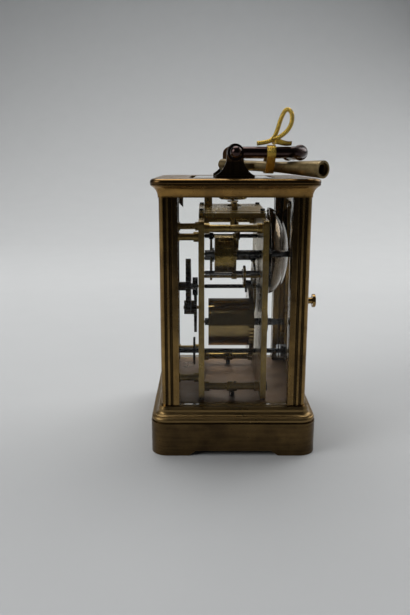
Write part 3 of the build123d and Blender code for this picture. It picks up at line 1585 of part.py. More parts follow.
# Screws of the movement: plates, platform, cock and bridge, and the nut of the bell
with BuildPart() as movement_screws:
    for spot in plate_pillar_spots:
        bar(spot, back_inner - plate_screw_bite + side_gap, back_outer, plate_screw_radius)
        bar(spot, back_outer, back_outer + plate_screw_head, plate_screw_head_radius)
        with BuildSketch(across(spot, back_outer + plate_screw_head)):
            Rectangle(2 * plate_screw_head_radius, slot_width, rotation=45)
        extrude(amount=plate_screw_head / 2, mode=Mode.SUBTRACT)
    for screw_x in platform_screw_x:
        for screw_y in platform_screw_y:
            screw_low = plate_top - screw_bite + side_gap
            upright((screw_x, screw_y), screw_low, platform_top, plate_screw_radius / 2)
            upright((screw_x, screw_y), platform_top, platform_top + plate_screw_head, plate_screw_radius)
    for spot, seat in ((cock_screw_spot, cock_top), ((bridge_foot_x, escape_y), bridge_top)):
        upright(spot, platform_bottom + side_gap, seat, plate_screw_radius / 2)
        upright(spot, seat, seat + plate_screw_head / 2, plate_screw_radius)
    bar(bell_spot, nut_front, nut_rear, bell_nut_radius)
    bar(bell_spot, nut_front, nut_rear, bell_stud_radius + seat_gap, Mode.SUBTRACT)
keep(movement_screws.part, "movement_screws")
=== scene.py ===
import math

import bmesh
import bpy
from mathutils import Matrix, Vector


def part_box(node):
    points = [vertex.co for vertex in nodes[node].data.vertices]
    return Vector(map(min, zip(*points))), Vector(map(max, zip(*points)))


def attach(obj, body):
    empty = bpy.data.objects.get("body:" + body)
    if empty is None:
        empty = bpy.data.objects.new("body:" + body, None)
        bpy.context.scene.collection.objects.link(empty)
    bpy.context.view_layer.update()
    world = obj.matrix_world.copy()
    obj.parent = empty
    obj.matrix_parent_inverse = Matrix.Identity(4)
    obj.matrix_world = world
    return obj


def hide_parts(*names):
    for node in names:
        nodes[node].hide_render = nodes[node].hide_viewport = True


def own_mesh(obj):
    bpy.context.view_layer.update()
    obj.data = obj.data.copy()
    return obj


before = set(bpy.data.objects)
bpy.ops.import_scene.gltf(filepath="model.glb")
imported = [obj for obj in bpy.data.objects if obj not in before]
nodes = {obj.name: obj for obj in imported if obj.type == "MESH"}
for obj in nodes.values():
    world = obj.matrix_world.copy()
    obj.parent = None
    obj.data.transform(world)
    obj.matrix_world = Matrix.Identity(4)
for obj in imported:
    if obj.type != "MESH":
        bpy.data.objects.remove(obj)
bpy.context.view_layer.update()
scene = bpy.context.scene
scene.view_settings.view_transform = "Standard"
print("frame loaded,", len(nodes), "pieces of the clock")

mm = 0.001


# object and mesh helpers

def addObject(name, data):
    item = bpy.data.objects.new(name, data)
    scene.collection.objects.link(item)
    return item


def meshOfShape(name, work):
    mesh = bpy.data.meshes.new(name)
    work.to_mesh(mesh)
    work.free()
    return mesh


def meshOfCurve(holder):
    bpy.context.view_layer.update()
    return bpy.data.meshes.new_from_object(holder.evaluated_get(bpy.context.evaluated_depsgraph_get()))


def smoothFaces(mesh):
    for face in mesh.polygons:
        face.use_smooth = True


def addPiece(name, mesh, material, body):
    mesh.materials.clear()
    mesh.materials.append(material)
    piece = addObject(name, mesh)
    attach(piece, body)
    return piece


def dress(name, material):
    for slot in nodes[name].material_slots:
        slot.material = material


# material helpers

def startMaterial(name):
    material = bpy.data.materials.new(name)
    material.use_nodes = True
    return material, material.node_tree, material.node_tree.nodes["Principled BSDF"]


def addNode(tree, kind, settings=None, sockets=None):
    node = tree.nodes.new(kind)
    for key, value in (settings or {}).items():
        setattr(node, key, value)
    for key, value in (sockets or {}).items():
        node.inputs[key].default_value = value
    return node


def feed(tree, socket, value):
    if hasattr(value, "is_output"):
        tree.links.new(value, socket)
    else:
        socket.default_value = (*value, 1) if isinstance(value, tuple) else value


def objectPlace(tree, stretch=(1, 1, 1)):
    coords = addNode(tree, "ShaderNodeTexCoord")
    mapping = addNode(tree, "ShaderNodeMapping", sockets={"Scale": stretch})
    tree.links.new(coords.outputs["Object"], mapping.inputs["Vector"])
    return mapping.outputs["Vector"]


def placeParts(tree):
    split = addNode(tree, "ShaderNodeSeparateXYZ")
    tree.links.new(objectPlace(tree), split.inputs[0])
    return split.outputs["X"], split.outputs["Y"], split.outputs["Z"]


def noiseField(tree, scale, detail=4.0, rough=0.55, stretch=(1, 1, 1)):
    sockets = {"Scale": scale, "Detail": detail, "Roughness": rough}
    noise = addNode(tree, "ShaderNodeTexNoise", sockets=sockets)
    tree.links.new(objectPlace(tree, stretch), noise.inputs["Vector"])
    return noise.outputs["Fac"]


def rangeOf(tree, source, low, high, toLow=0.0, toHigh=1.0):
    sockets = {"From Min": low, "From Max": high, "To Min": toLow, "To Max": toHigh}
    node = addNode(tree, "ShaderNodeMapRange", sockets=sockets)
    tree.links.new(source, node.inputs["Value"])
    return node.outputs["Result"]


# a colour mix has its factor and two colours at inputs 0, 6 and 7, and its result at output 2
def blendColours(tree, factor, first, second):
    node = addNode(tree, "ShaderNodeMix", {"data_type": "RGBA"})
    for place, value in ((0, factor), (6, first), (7, second)):
        feed(tree, node.inputs[place], value)
    return node.outputs[2]


def combine(tree, operation, first, second=0.0):
    node = addNode(tree, "ShaderNodeMath", {"operation": operation})
    feed(tree, node.inputs[0], first)
    feed(tree, node.inputs[1], second)
    return node.outputs[0]


def product(tree, first, second):
    return combine(tree, "MULTIPLY", first, second)


def edgeMask(tree, look):
    soft = addNode(tree, "ShaderNodeBevel", {"samples": 6}, {"Radius": look["wearRadius"]})
    flat = addNode(tree, "ShaderNodeNewGeometry")
    dot = addNode(tree, "ShaderNodeVectorMath", {"operation": "DOT_PRODUCT"})
    tree.links.new(soft.outputs["Normal"], dot.inputs[0])
    tree.links.new(flat.outputs["Normal"], dot.inputs[1])
    return rangeOf(tree, dot.outputs["Value"], *look["edgeTurn"])


def bumpFrom(tree, shader, height, strength, distance):
    bump = addNode(tree, "ShaderNodeBump", sockets={"Strength": strength, "Distance": distance})
    tree.links.new(height, bump.inputs["Height"])
    tree.links.new(bump.outputs["Normal"], shader.inputs["Normal"])


# masks that find a place on a piece: the case's floor, a band of heights, the flutes of the pillars (painted
# shade and dirt) and the painted shade beside them
def floorMask(tree, look):
    x, y, z = placeParts(tree)
    within = [rangeOf(tree, combine(tree, "ABSOLUTE", axis), half, half - look["floorSoft"])
              for axis, half in zip((x, y), look["floorEdge"])]
    return product(tree, product(tree, *within), rangeOf(tree, z, *look["floorHeights"]))


def bandMask(tree, look):
    low, high, soft = look["bandHeights"]
    z = placeParts(tree)[2]
    above = rangeOf(tree, z, low - soft, low + soft)
    return product(tree, above, rangeOf(tree, z, high + soft, high - soft))


def alongFace(tree, look):
    inward = [combine(tree, "SUBTRACT", half, combine(tree, "ABSOLUTE", axis))
              for axis, half in zip(placeParts(tree), look["fluteEdge"])]
    return combine(tree, "MAXIMUM", *inward)


# the strip of each pillar beside the glass gets painted shade, darker towards the top
def shadeMask(tree, look):
    edge, soft = look["shadeFrom"], look["shadeSoft"]
    beside = rangeOf(tree, alongFace(tree, look), edge - soft, edge + soft)
    height = placeParts(tree)[2]
    return product(tree, beside, rangeOf(tree, height, *look["shadeHeights"], look["shadeLeast"], 1.0))


# the dark flutes of the pillars are painted shade in the grooves, partly dirt
def fluteMask(tree, look):
    along = alongFace(tree, look)
    near = [combine(tree, "ABSOLUTE", combine(tree, "SUBTRACT", along, place))
            for place in look["flutePlaces"]]
    return rangeOf(tree, combine(tree, "MINIMUM", *near), look["fluteWide"], look["fluteWide"] / 2)


placedTones = {"band": bandMask, "floor": floorMask, "shade": shadeMask, "flute": fluteMask}


# one recipe for all metals: cloudy tarnish, dark spots, drawn grain, edges rubbed bright, and the tones laid
# by place, among them painted shade and painted highlights
def metalFinish(name, look):
    material, tree, shader = startMaterial(name)
    cloudy = noiseField(tree, look["cloudScale"], look["cloudDetail"], look["cloudRough"])
    clouds = rangeOf(tree, cloudy, look["cloudLow"], look["cloudHigh"])
    colour = blendColours(tree, clouds, look["tarnish"], look["body"])
    spotty = noiseField(tree, look["spotScale"], look["spotDetail"], look["spotRough"])
    spots = rangeOf(tree, spotty, *look["spotRange"], 0.0, look["spots"])
    colour = blendColours(tree, spots, colour, look["spotColour"])
    grain = noiseField(tree, look["grainScale"], look["grainDetail"], look["grainRough"],
                       look["grainStretch"])
    drawn = rangeOf(tree, grain, *look["grainRange"], 0.0, look["grainTint"])
    colour = blendColours(tree, drawn, colour, look["bright"])
    rubbed = rangeOf(tree, clouds, 0.0, 1.0, look["wearLeast"], 1.0)
    worn = product(tree, product(tree, edgeMask(tree, look), rubbed), look["wear"])
    colour = blendColours(tree, worn, colour, look["bright"])
    for part, mask in placedTones.items():
        if part in look:
            share = product(tree, mask(tree, look), look[part + "Share"])
            colour = blendColours(tree, share, colour, look[part])
    tree.links.new(colour, shader.inputs["Base Color"])
    shader.inputs["Metallic"].default_value = 1.0
    dull = rangeOf(tree, clouds, 0.0, 1.0, look["roughHigh"], look["roughLow"])
    streaks = rangeOf(tree, grain, *look["streakRange"], -look["streak"], look["streak"])
    tree.links.new(combine(tree, "ADD", dull, streaks), shader.inputs["Roughness"])
    bumpFrom(tree, shader, grain, look["bump"], look["bumpDistance"])
    return material


caseLook = {
    "body": (0.3, 0.185, 0.062), "tarnish": (0.12, 0.072, 0.028), "bright": (0.6, 0.4, 0.15),
    "cloudScale": 70.0, "cloudDetail": 6.0, "cloudRough": 0.62, "cloudLow": 0.36, "cloudHigh": 0.64,
    "spotColour": (0.03, 0.02, 0.012), "spotScale": 650.0, "spotDetail": 3.0, "spotRough": 0.5,
    "spotRange": (0.66, 0.74), "spots": 0.55,
    "grainScale": 900.0, "grainDetail": 3.0, "grainRough": 0.6, "grainStretch": (1.0, 1.0, 0.05),
    "grainRange": (0.35, 0.65), "grainTint": 0.12,
    "wearRadius": 0.0005, "edgeTurn": (0.97, 0.72), "wearLeast": 0.35, "wear": 0.7,
    "roughLow": 0.14, "roughHigh": 0.3, "streakRange": (0.3, 0.7), "streak": 0.05,
    "bump": 0.12, "bumpDistance": 0.00004,
}
pillarLook = {
    # the flute colour is painted shade in the pillars' grooves, partly dirt
    **caseLook, "flute": (0.022, 0.014, 0.007), "fluteShare": 0.9, "fluteEdge": (0.0356, 0.0302),
    "flutePlaces": (0.0024, 0.0045), "fluteWide": 0.0009, "shade": (0.03, 0.02, 0.011),
    # the shade colour and the settings below paint shade on the strip beside the flutes, darker towards the
    # top
    "shadeShare": 0.85, "shadeFrom": 0.0053, "shadeSoft": 0.0004, "shadeHeights": (0.03, 0.085),
    "shadeLeast": 0.1,
}
plinthLook = {
    **caseLook, "body": (0.1, 0.062, 0.025), "tarnish": (0.05, 0.031, 0.015),
    "bright": (0.3, 0.2, 0.08), "cloudScale": 90.0, "grainStretch": (0.06, 0.06, 1.0),
    "roughLow": 0.28, "roughHigh": 0.46, "spots": 0.7, "wear": 0.65,
    "floor": (0.25, 0.16, 0.095), "floorShare": 1.0, "floorEdge": (0.031, 0.026), "floorSoft": 0.001,
    "floorHeights": (0.0185, 0.0195),
    # the lighter band over the base's moulding is a painted highlight
    "band": (0.26, 0.17, 0.068), "bandHeights": (0.0142, 0.03, 0.0003), "bandShare": 0.8,
}
corniceLook = {
    **caseLook, "body": (0.34, 0.19, 0.052), "tarnish": (0.16, 0.09, 0.03),
    "bright": (0.45, 0.28, 0.1), "grainStretch": (0.05, 0.05, 1.0), "wear": 0.3,
    "wearRadius": 0.0003, "roughLow": 0.2, "roughHigh": 0.34,
    # the dark band on the cornice's nose is partly tarnish and partly painted shade
    "band": (0.05, 0.029, 0.013), "bandHeights": (0.1113, 0.1136, 0.0004), "bandShare": 0.85,
}
handleLook = {
    **caseLook, "body": (0.045, 0.028, 0.028), "tarnish": (0.022, 0.014, 0.016),
    "bright": (0.22, 0.13, 0.07), "grainStretch": (0.3, 1.0, 1.0), "roughLow": 0.14,
    "roughHigh": 0.28, "wear": 0.3,
}
bracketLook = {
    **caseLook, "body": (0.03, 0.02, 0.012), "tarnish": (0.015, 0.011, 0.008),
    "bright": (0.16, 0.1, 0.04), "roughLow": 0.26, "roughHigh": 0.42, "wear": 0.35,
    "band": (0.3, 0.165, 0.085), "bandHeights": (0.1214, 0.14, 0.0012), "bandShare": 0.85,
}
keyLook = {
    **caseLook, "body": (0.27, 0.2, 0.095), "tarnish": (0.12, 0.087, 0.04),
    "bright": (0.5, 0.38, 0.19), "cloudScale": 160.0, "grainStretch": (0.2, 0.2, 1.0),
    "roughLow": 0.3, "roughHigh": 0.48,
}
plateLook = {
    **caseLook, "body": (0.33, 0.225, 0.07), "tarnish": (0.15, 0.1, 0.034),
    "bright": (0.55, 0.4, 0.15), "cloudScale": 50.0, "grainScale": 1400.0,
    "grainStretch": (0.05, 1.0, 1.0), "roughLow": 0.22, "roughHigh": 0.38, "spots": 0.25, "wear": 0.4,
}
wheelLook = {
    **plateLook, "body": (0.26, 0.17, 0.05), "tarnish": (0.11, 0.072, 0.025), "cloudScale": 180.0,
    "grainStretch": (1.0, 0.1, 1.0), "roughLow": 0.2, "roughHigh": 0.34,
}
# the motion wheels are a darker copy of the wheel brass: painted shade
shadedMotionLook = {
    **wheelLook, "body": (0.055, 0.038, 0.016), "tarnish": (0.025, 0.017, 0.009),
    "bright": (0.2, 0.135, 0.045), "roughLow": 0.28, "roughHigh": 0.42, "wear": 0.25,
}
barrelLook = {
    **wheelLook, "body": (0.3, 0.21, 0.085), "tarnish": (0.15, 0.108, 0.05),
    "bright": (0.42, 0.3, 0.12), "roughLow": 0.09, "roughHigh": 0.18, "wear": 0.2,
}
drumLook = {**wheelLook, "body": (0.23, 0.155, 0.044), "tarnish": (0.1, 0.068, 0.023)}
bellLook = {
    **plateLook, "body": (0.13, 0.093, 0.055), "tarnish": (0.045, 0.033, 0.022),
    "bright": (0.36, 0.29, 0.2), "grainStretch": (1.0, 0.08, 1.0), "roughLow": 0.1, "roughHigh": 0.2,
}
steelLook = {
    **caseLook, "body": (0.075, 0.073, 0.07), "tarnish": (0.032, 0.031, 0.03),
    "bright": (0.25, 0.25, 0.25), "spotColour": (0.03, 0.02, 0.015), "cloudScale": 220.0,
    "grainScale": 1600.0, "grainStretch": (1.0, 0.05, 1.0), "grainTint": 0.1, "roughLow": 0.14,
    "roughHigh": 0.28, "spots": 0.35, "wear": 0.3, "wearRadius": 0.0002,
}
bluedLook = {
    **steelLook, "body": (0.02, 0.03, 0.08), "tarnish": (0.012, 0.015, 0.036),
    "bright": (0.08, 0.1, 0.2), "spots": 0.1, "roughLow": 0.16, "roughHigh": 0.26,
}
metalNodes = {
    "plinthBrass": (plinthLook, ["base"]),
    "pillarBrass": (pillarLook, ["front_left_pillar", "front_right_pillar", "rear_left_pillar",
                                 "rear_right_pillar"]),
    "doorBrass": (caseLook, ["door_frame", "door_knob"]),
    "corniceBrass": (corniceLook, ["cornice"]),
    "handleBronze": (handleLook, ["handle", "handle_pivots"]),
    "bracketBronze": (bracketLook, ["handle_brackets"]),
    "keyBrass": (keyLook, ["key"]),
    "plateBrass": (plateLook, ["front_plate", "back_plate", "plate_pillars", "dial_feet", "platform",
                               "escape_bridge", "balance_cock"]),
    "wheelBrass": (wheelLook, ["centre_wheel", "third_wheel", "contrate_wheel", "escape_wheel",
                               "balance_wheel", "alarm_escape_wheel"]),
    "shadedMotionBrass": (shadedMotionLook, ["minute_wheel", "hour_wheel"]),
    "barrelBrass": (barrelLook, ["going_barrel", "barrel_cap"]),
    "drumBrass": (drumLook, ["alarm_barrel"]),
    "bellBronze": (bellLook, ["bell"]),
    "greySteel": (steelLook, ["case_screws", "movement_screws", "centre_arbor", "cannon_pinion",
                              "mainspring", "winding_arbor", "winding_click", "alarm_click",
                              "click_springs", "third_arbor", "contrate_arbor", "escape_arbor", "lever",
                              "alarm_winding_arbor", "alarm_hammer", "bell_stand", "alarm_set_arbor"]),
    "bluedSteel": (bluedLook, ["hour_hand", "minute_hand", "alarm_hand", "hairspring"]),
}
for finishName, (metalLook, wearers) in metalNodes.items():
    finish = metalFinish(finishName, metalLook)
    for wearer in wearers:
        dress(wearer, finish)
print("metals laid on")

# clear bevelled panes, which let the lamps through
glassLook = {
    "tint": (0.995, 1.0, 0.995), "ior": 1.22, "smear": 0.01, "smearScale": 45.0, "smearDetail": 5.0,
    "smearRough": 0.6, "smearRange": (0.5, 0.75),
}


def paneGlass(look):
    material, tree, shader = startMaterial("paneGlass")
    shader.inputs["Base Color"].default_value = (*look["tint"], 1)
    shader.inputs["Transmission Weight"].default_value = 1.0
    shader.inputs["IOR"].default_value = look["ior"]
    wiped = noiseField(tree, look["smearScale"], look["smearDetail"], look["smearRough"])
    smear = rangeOf(tree, wiped, *look["smearRange"], 0.0, look["smear"])
    tree.links.new(smear, shader.inputs["Roughness"])
    clear = addNode(tree, "ShaderNodeBsdfTransparent", sockets={"Color": (*look["tint"], 1)})
    path = addNode(tree, "ShaderNodeLightPath")
    mix = addNode(tree, "ShaderNodeMixShader")
    tree.links.new(path.outputs["Is Shadow Ray"], mix.inputs[0])
    tree.links.new(shader.outputs["BSDF"], mix.inputs[1])
    tree.links.new(clear.outputs["BSDF"], mix.inputs[2])
    tree.links.new(mix.outputs["Shader"], tree.nodes["Material Output"].inputs["Surface"])
    return material


glass = paneGlass(glassLook)
for pane in ("front_glass", "left_glass", "right_glass", "top_glass", "door_glass"):
    dress(pane, glass)

# stained white enamel on the dial
enamelLook = {
    "body": (0.8, 0.785, 0.72), "stain": (0.68, 0.64, 0.54), "stainScale": 60.0, "stainDetail": 6.0,
    "stainRough": 0.6, "stainRange": (0.48, 0.78), "stainShare": 0.8, "rough": 0.14, "coat": 0.5,
    "rippleScale": 160.0, "rippleDetail": 2.0, "bump": 0.08, "bumpDistance": 0.0002,
}


def dialEnamel(look):
    material, tree, shader = startMaterial("dialEnamel")
    blotchy = noiseField(tree, look["stainScale"], look["stainDetail"], look["stainRough"])
    stain = rangeOf(tree, blotchy, *look["stainRange"], 0.0, look["stainShare"])
    tree.links.new(blendColours(tree, stain, look["body"], look["stain"]), shader.inputs["Base Color"])
    shader.inputs["Roughness"].default_value = look["rough"]
    shader.inputs["Coat Weight"].default_value = look["coat"]
    ripple = noiseField(tree, look["rippleScale"], look["rippleDetail"])
    bumpFrom(tree, shader, ripple, look["bump"], look["bumpDistance"])
    return material


dress("dial", dialEnamel(enamelLook))
print("glass and enamel laid on")

# printing on the dial: rings, minute marks and numbers, in millimetres from the clock's middle and foot
printLook = {
    "centre": (0.0, 64.8), "ringRadii": ((23.6, 23.85), (21.4, 21.65)), "minuteRadii": (21.6, 23.6),
    "minuteWidth": 0.22, "fiveWidth": 0.7, "numberRadius": 17.9, "numberSize": 5.4,
    "lift": 0.04, "thickness": 0.03, "ringSteps": 96,
    "alarmCentre": (0.0, 34.0), "alarmRings": ((6.75, 6.95),), "alarmRadius": 5.2, "alarmSize": 1.9,
    "body": (0.012, 0.011, 0.012), "worn": (0.1, 0.09, 0.08), "rough": 0.3,
    "wearScale": 900.0, "wearDetail": 3.0, "wearRange": (0.55, 0.8), "wearShare": 0.7,
}
romanHours = ["XII", "I", "II", "III", "IIII", "V", "VI", "VII", "VIII", "IX", "X", "XI"]
minuteDegrees = 6
hourDegrees = 30
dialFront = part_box("dial")[0][1]
faceTurn = Matrix.Rotation(math.radians(90), 4, "X")


def dialPlace(centre, reach, turn):
    side = centre[0] + reach * math.sin(turn)
    height = centre[1] + reach * math.cos(turn)
    place = Vector((side * mm, dialFront - printLook["lift"] * mm, height * mm))
    return Matrix.Translation(place) @ Matrix.Rotation(turn, 4, "Y")


def printRing(work, centre, inner, outer):
    first = work.verts.new(dialPlace(centre, inner, 0).translation)
    second = work.verts.new(dialPlace(centre, outer, 0).translation)
    edge = work.edges.new((first, second))
    middle = dialPlace(centre, 0, 0).translation
    bmesh.ops.spin(work, geom=[first, second, edge], cent=middle, axis=(0, 1, 0), angle=2 * math.pi,
                   steps=printLook["ringSteps"], use_merge=True)


def printMark(work, centre, inner, outer, width, turn):
    middle = dialPlace(centre, (inner + outer) / 2, turn)
    size = Matrix.Diagonal((width * mm, (outer - inner) * mm, 1, 1))
    bmesh.ops.create_grid(work, x_segments=1, y_segments=1, size=0.5, matrix=middle @ faceTurn @ size)


def printNumber(work, words, place, size):
    curve = bpy.data.curves.new("number", "FONT")
    curve.body = words
    curve.size = size * mm
    curve.align_x = "CENTER"
    curve.align_y = "CENTER"
    holder = addObject("number", curve)
    flat = meshOfCurve(holder)
    flat.transform(place @ faceTurn)
    work.from_mesh(flat)
    bpy.data.objects.remove(holder)
    bpy.data.curves.remove(curve)
    bpy.data.meshes.remove(flat)


def printInk(look):
    material, tree, shader = startMaterial("dialInk")
    patchy = noiseField(tree, look["wearScale"], look["wearDetail"])
    wear = rangeOf(tree, patchy, *look["wearRange"], 0.0, look["wearShare"])
    tree.links.new(blendColours(tree, wear, look["body"], look["worn"]), shader.inputs["Base Color"])
    shader.inputs["Roughness"].default_value = look["rough"]
    return material


ink = bmesh.new()
for inner, outer in printLook["ringRadii"]:
    printRing(ink, printLook["centre"], inner, outer)
for inner, outer in printLook["alarmRings"]:
    printRing(ink, printLook["alarmCentre"], inner, outer)
for minute in range(60):
    markWidth = printLook["fiveWidth"] if minute % 5 == 0 else printLook["minuteWidth"]
    turn = math.radians(minuteDegrees * minute)
    printMark(ink, printLook["centre"], *printLook["minuteRadii"], markWidth, turn)
for hour, words in enumerate(romanHours):
    place = dialPlace(printLook["centre"], printLook["numberRadius"], math.radians(hourDegrees * hour))
    printNumber(ink, words, place, printLook["numberSize"])
# the alarm's numbers all stand upright
for hour in range(12):
    turn = math.radians(hourDegrees * hour)
    place = (printLook["alarmCentre"][0] + printLook["alarmRadius"] * math.sin(turn),
             printLook["alarmCentre"][1] + printLook["alarmRadius"] * math.cos(turn))
    printNumber(ink, str(hour or 12), dialPlace(place, 0, 0), printLook["alarmSize"])
bmesh.ops.recalc_face_normals(ink, faces=ink.faces)
dialPrint = addPiece("dialPrint", meshOfShape("dialPrint", ink), printInk(printLook), "case")
skin = dialPrint.modifiers.new("skin", "SOLIDIFY")
skin.thickness = printLook["thickness"] * mm
skin.offset = 0
print("dial printed")

# gold ribbon: a soft band round the arm and the key, and a tied loop standing above it
# its places are in millimetres from an origin on the arm
ribbonLook = {
    "thread": (1.0, 0.72, 0.13), "shade": (0.27, 0.15, 0.015), "sheen": 0.1, "rough": 0.24, "metal": 0.8,
    "weave": {"Scale": 900.0, "Distortion": 1.5, "Detail": 2.0, "Detail Scale": 2.0},
    "crossWeave": {"Scale": 700.0, "Distortion": 1.0, "Detail": 1.0}, "threadTop": 0.5,
    "cloudScale": 260.0, "cloudDetail": 4.0, "cloudRange": (0.55, 0.8), "cloudShare": 0.6,
    "bump": 0.6, "bumpDistance": 0.00015,
    "bandMerge": 0.00001, "bandSharp": 1.0, "bandRounding": 0.00012, "bandSegments": 2,
    "origin": (31.2, 13.853, 126.15), "radius": 0.85, "lineSteps": 8, "lineOrder": 3, "loopSides": 4,
    "route": ((-0.2, -5.6, 1.2), (-0.3, -2.4, 1.5), (-0.5, 0.8, 2.6), (-0.8, 2.4, 6.4), (-0.9, 3.6, 10.8),
              (-0.4, 5.6, 14.4), (0.4, 7.8, 12.6), (0.9, 7.6, 8.2), (0.9, 5.0, 4.6), (0.9, 1.8, 2.9)),
    "knotCentre": (0.15, 1.1, 2.4), "knotSize": (0.46, 0.46, 0.7), "knotRadius": 0.39, "knotSteps": 72,
    "knotSides": 3,
    "tail": ((0.3, 1.0, 2.2), (0.5, 2.8, 1.9), (0.7, 4.6, 1.3), (0.9, 6.4, 1.0), (1.0, 7.8, 1.2)),
    "tailWidth": 2.4, "tailThickness": 0.4, "tailTurn": (75, 40),
}


def waveField(tree, direction, sockets):
    wave = addNode(tree, "ShaderNodeTexWave", {"bands_direction": direction}, sockets)
    tree.links.new(objectPlace(tree), wave.inputs["Vector"])
    return wave.outputs["Fac"]


def ribbonCloth(look):
    material, tree, shader = startMaterial("goldRibbon")
    weave = waveField(tree, "Y", look["weave"])
    threads = product(tree, weave, waveField(tree, "DIAGONAL", look["crossWeave"]))
    colour = blendColours(tree, rangeOf(tree, threads, 0.0, look["threadTop"]), look["shade"], look["thread"])
    cloudy = noiseField(tree, look["cloudScale"], look["cloudDetail"])
    clouds = rangeOf(tree, cloudy, *look["cloudRange"], 0.0, look["cloudShare"])
    tree.links.new(blendColours(tree, clouds, colour, look["shade"]), shader.inputs["Base Color"])
    shader.inputs["Metallic"].default_value = look["metal"]
    shader.inputs["Roughness"].default_value = look["rough"]
    shader.inputs["Sheen Weight"].default_value = look["sheen"]
    bumpFrom(tree, shader, threads, look["bump"], look["bumpDistance"])
    return material


def ribbonPlace(point):
    return (Vector(ribbonLook["origin"]) + Vector(point)) * mm


def ribbonPiece(name, mesh):
    return addPiece(name, mesh, ribbonFinish, "handle")


def smoothLine(look, points):
    curve = bpy.data.curves.new("ribbonLine", "CURVE")
    curve.dimensions = "3D"
    curve.resolution_u = look["lineSteps"]
    curve.use_fill_caps = True
    spline = curve.splines.new("NURBS")
    spline.points.add(len(points) - 1)
    for point, place in zip(spline.points, points):
        point.co = (*ribbonPlace(place), 1)
    spline.order_u = look["lineOrder"]
    spline.use_endpoint_u = True
    holder = addObject("ribbonLine", curve)
    lineMesh = meshOfCurve(holder)
    places = [vertex.co.copy() for vertex in lineMesh.vertices]
    bpy.data.meshes.remove(lineMesh)
    return holder, places


def tubeMesh(holder, radius, sides):
    holder.data.bevel_depth = radius * mm
    holder.data.bevel_resolution = sides
    mesh = meshOfCurve(holder)
    bpy.data.objects.remove(holder)
    smoothFaces(mesh)
    return mesh


# the knot is a trefoil of thinner cord
def knotLine(look):
    curve = bpy.data.curves.new("knotLine", "CURVE")
    curve.dimensions = "3D"
    spline = curve.splines.new("POLY")
    spline.points.add(look["knotSteps"] - 1)
    spline.use_cyclic_u = True
    for step, point in enumerate(spline.points):
        turn = 2 * math.pi * step / look["knotSteps"]
        trefoil = (math.sin(turn) + 2 * math.sin(2 * turn), math.cos(turn) - 2 * math.cos(2 * turn),
                   -math.sin(3 * turn))
        side, rise, depth = Vector(trefoil) * Vector(look["knotSize"])
        point.co = (*ribbonPlace(Vector(look["knotCentre"]) + Vector((depth, side, rise))), 1)
    return addObject("knotLine", curve)


# the flat tail turns as it goes, and is thin at both edges
def flatTail(look, places):
    work = bmesh.new()
    rows = []
    firstTurn, lastTurn = look["tailTurn"]
    for step, place in enumerate(places):
        turn = math.radians(firstTurn + (lastTurn - firstTurn) * step / (len(places) - 1))
        halfWidth = Vector((math.cos(turn), 0, math.sin(turn))) * look["tailWidth"] / 2 * mm
        halfDepth = Vector((-math.sin(turn), 0, math.cos(turn))) * look["tailThickness"] / 2 * mm
        corners = (place - halfWidth, place + halfDepth, place + halfWidth, place - halfDepth)
        rows.append([work.verts.new(corner) for corner in corners])
    for before, after in zip(rows, rows[1:]):
        for side in range(len(before)):
            work.faces.new((before[side], before[side - 1], after[side - 1], after[side]))
    work.faces.new(rows[0])
    work.faces.new(rows[-1])
    bmesh.ops.recalc_face_normals(work, faces=work.faces)
    return work


ribbonFinish = ribbonCloth(ribbonLook)
band = bmesh.new()
band.from_mesh(nodes["ribbon_turn"].data)
bmesh.ops.remove_doubles(band, verts=band.verts, dist=ribbonLook["bandMerge"])
sharp = [edge for edge in band.edges
         if len(edge.link_faces) == 2 and edge.calc_face_angle() > ribbonLook["bandSharp"]]
bmesh.ops.bevel(band, geom=sharp, offset=ribbonLook["bandRounding"], affect="EDGES",
                segments=ribbonLook["bandSegments"], profile=0.5, material=-1)
ribbonBand = ribbonPiece("ribbonBand", meshOfShape("ribbonBand", band))
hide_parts("ribbon_turn")

lineHolder, linePoints = smoothLine(ribbonLook, ribbonLook["route"])
lineLength = sum((after - before).length for before, after in zip(linePoints, linePoints[1:]))
loopMesh = tubeMesh(lineHolder, ribbonLook["radius"], ribbonLook["loopSides"])
ribbonLoop = ribbonPiece("ribbonLoop", loopMesh)
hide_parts("ribbon_loop")
knotMesh = tubeMesh(knotLine(ribbonLook), ribbonLook["knotRadius"], ribbonLook["knotSides"])
ribbonKnot = ribbonPiece("ribbonKnot", knotMesh)
tailHolder, tailPoints = smoothLine(ribbonLook, ribbonLook["tail"])
bpy.data.objects.remove(tailHolder)
ribbonTail = ribbonPiece("ribbonTail", meshOfShape("ribbonTail", flatTail(ribbonLook, tailPoints)))
print("ribbon loop", round(lineLength / mm, 1), "mm")
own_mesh(ribbonLoop)
print("ribbon tied")

# pale swept paper under and behind the clock, with painted shade that darkens it up the wall and towards the
# front
paperLook = {
    "front": 0.55, "wall": -1.5, "radius": 0.9, "height": 3.0, "half": 4.0, "bendSteps": 24,
    "colour": (0.66, 0.67, 0.67), "far": (0.37, 0.387, 0.4), "near": (0.5, 0.508, 0.512), "rough": 0.7,
    "farHeights": (0.0, 1.4), "nearRange": (-0.35, 0.2), "toothScale": 30.0, "toothDetail": 6.0,
    "toothRange": (0.3, 0.7), "toothShare": 0.05,
}


def paperFinish(look):
    material, tree, shader = startMaterial("palePaper")
    x, y, z = placeParts(tree)
    # painted shade: the paper grows darker up the wall and towards the front
    colour = blendColours(tree, rangeOf(tree, z, *look["farHeights"]), look["colour"], look["far"])
    colour = blendColours(tree, rangeOf(tree, x, *look["nearRange"]), colour, look["near"])
    fibres = noiseField(tree, look["toothScale"], look["toothDetail"])
    tooth = rangeOf(tree, fibres, *look["toothRange"], 0.0, look["toothShare"])
    tree.links.new(blendColours(tree, tooth, colour, look["far"]), shader.inputs["Base Color"])
    shader.inputs["Roughness"].default_value = look["rough"]
    return material


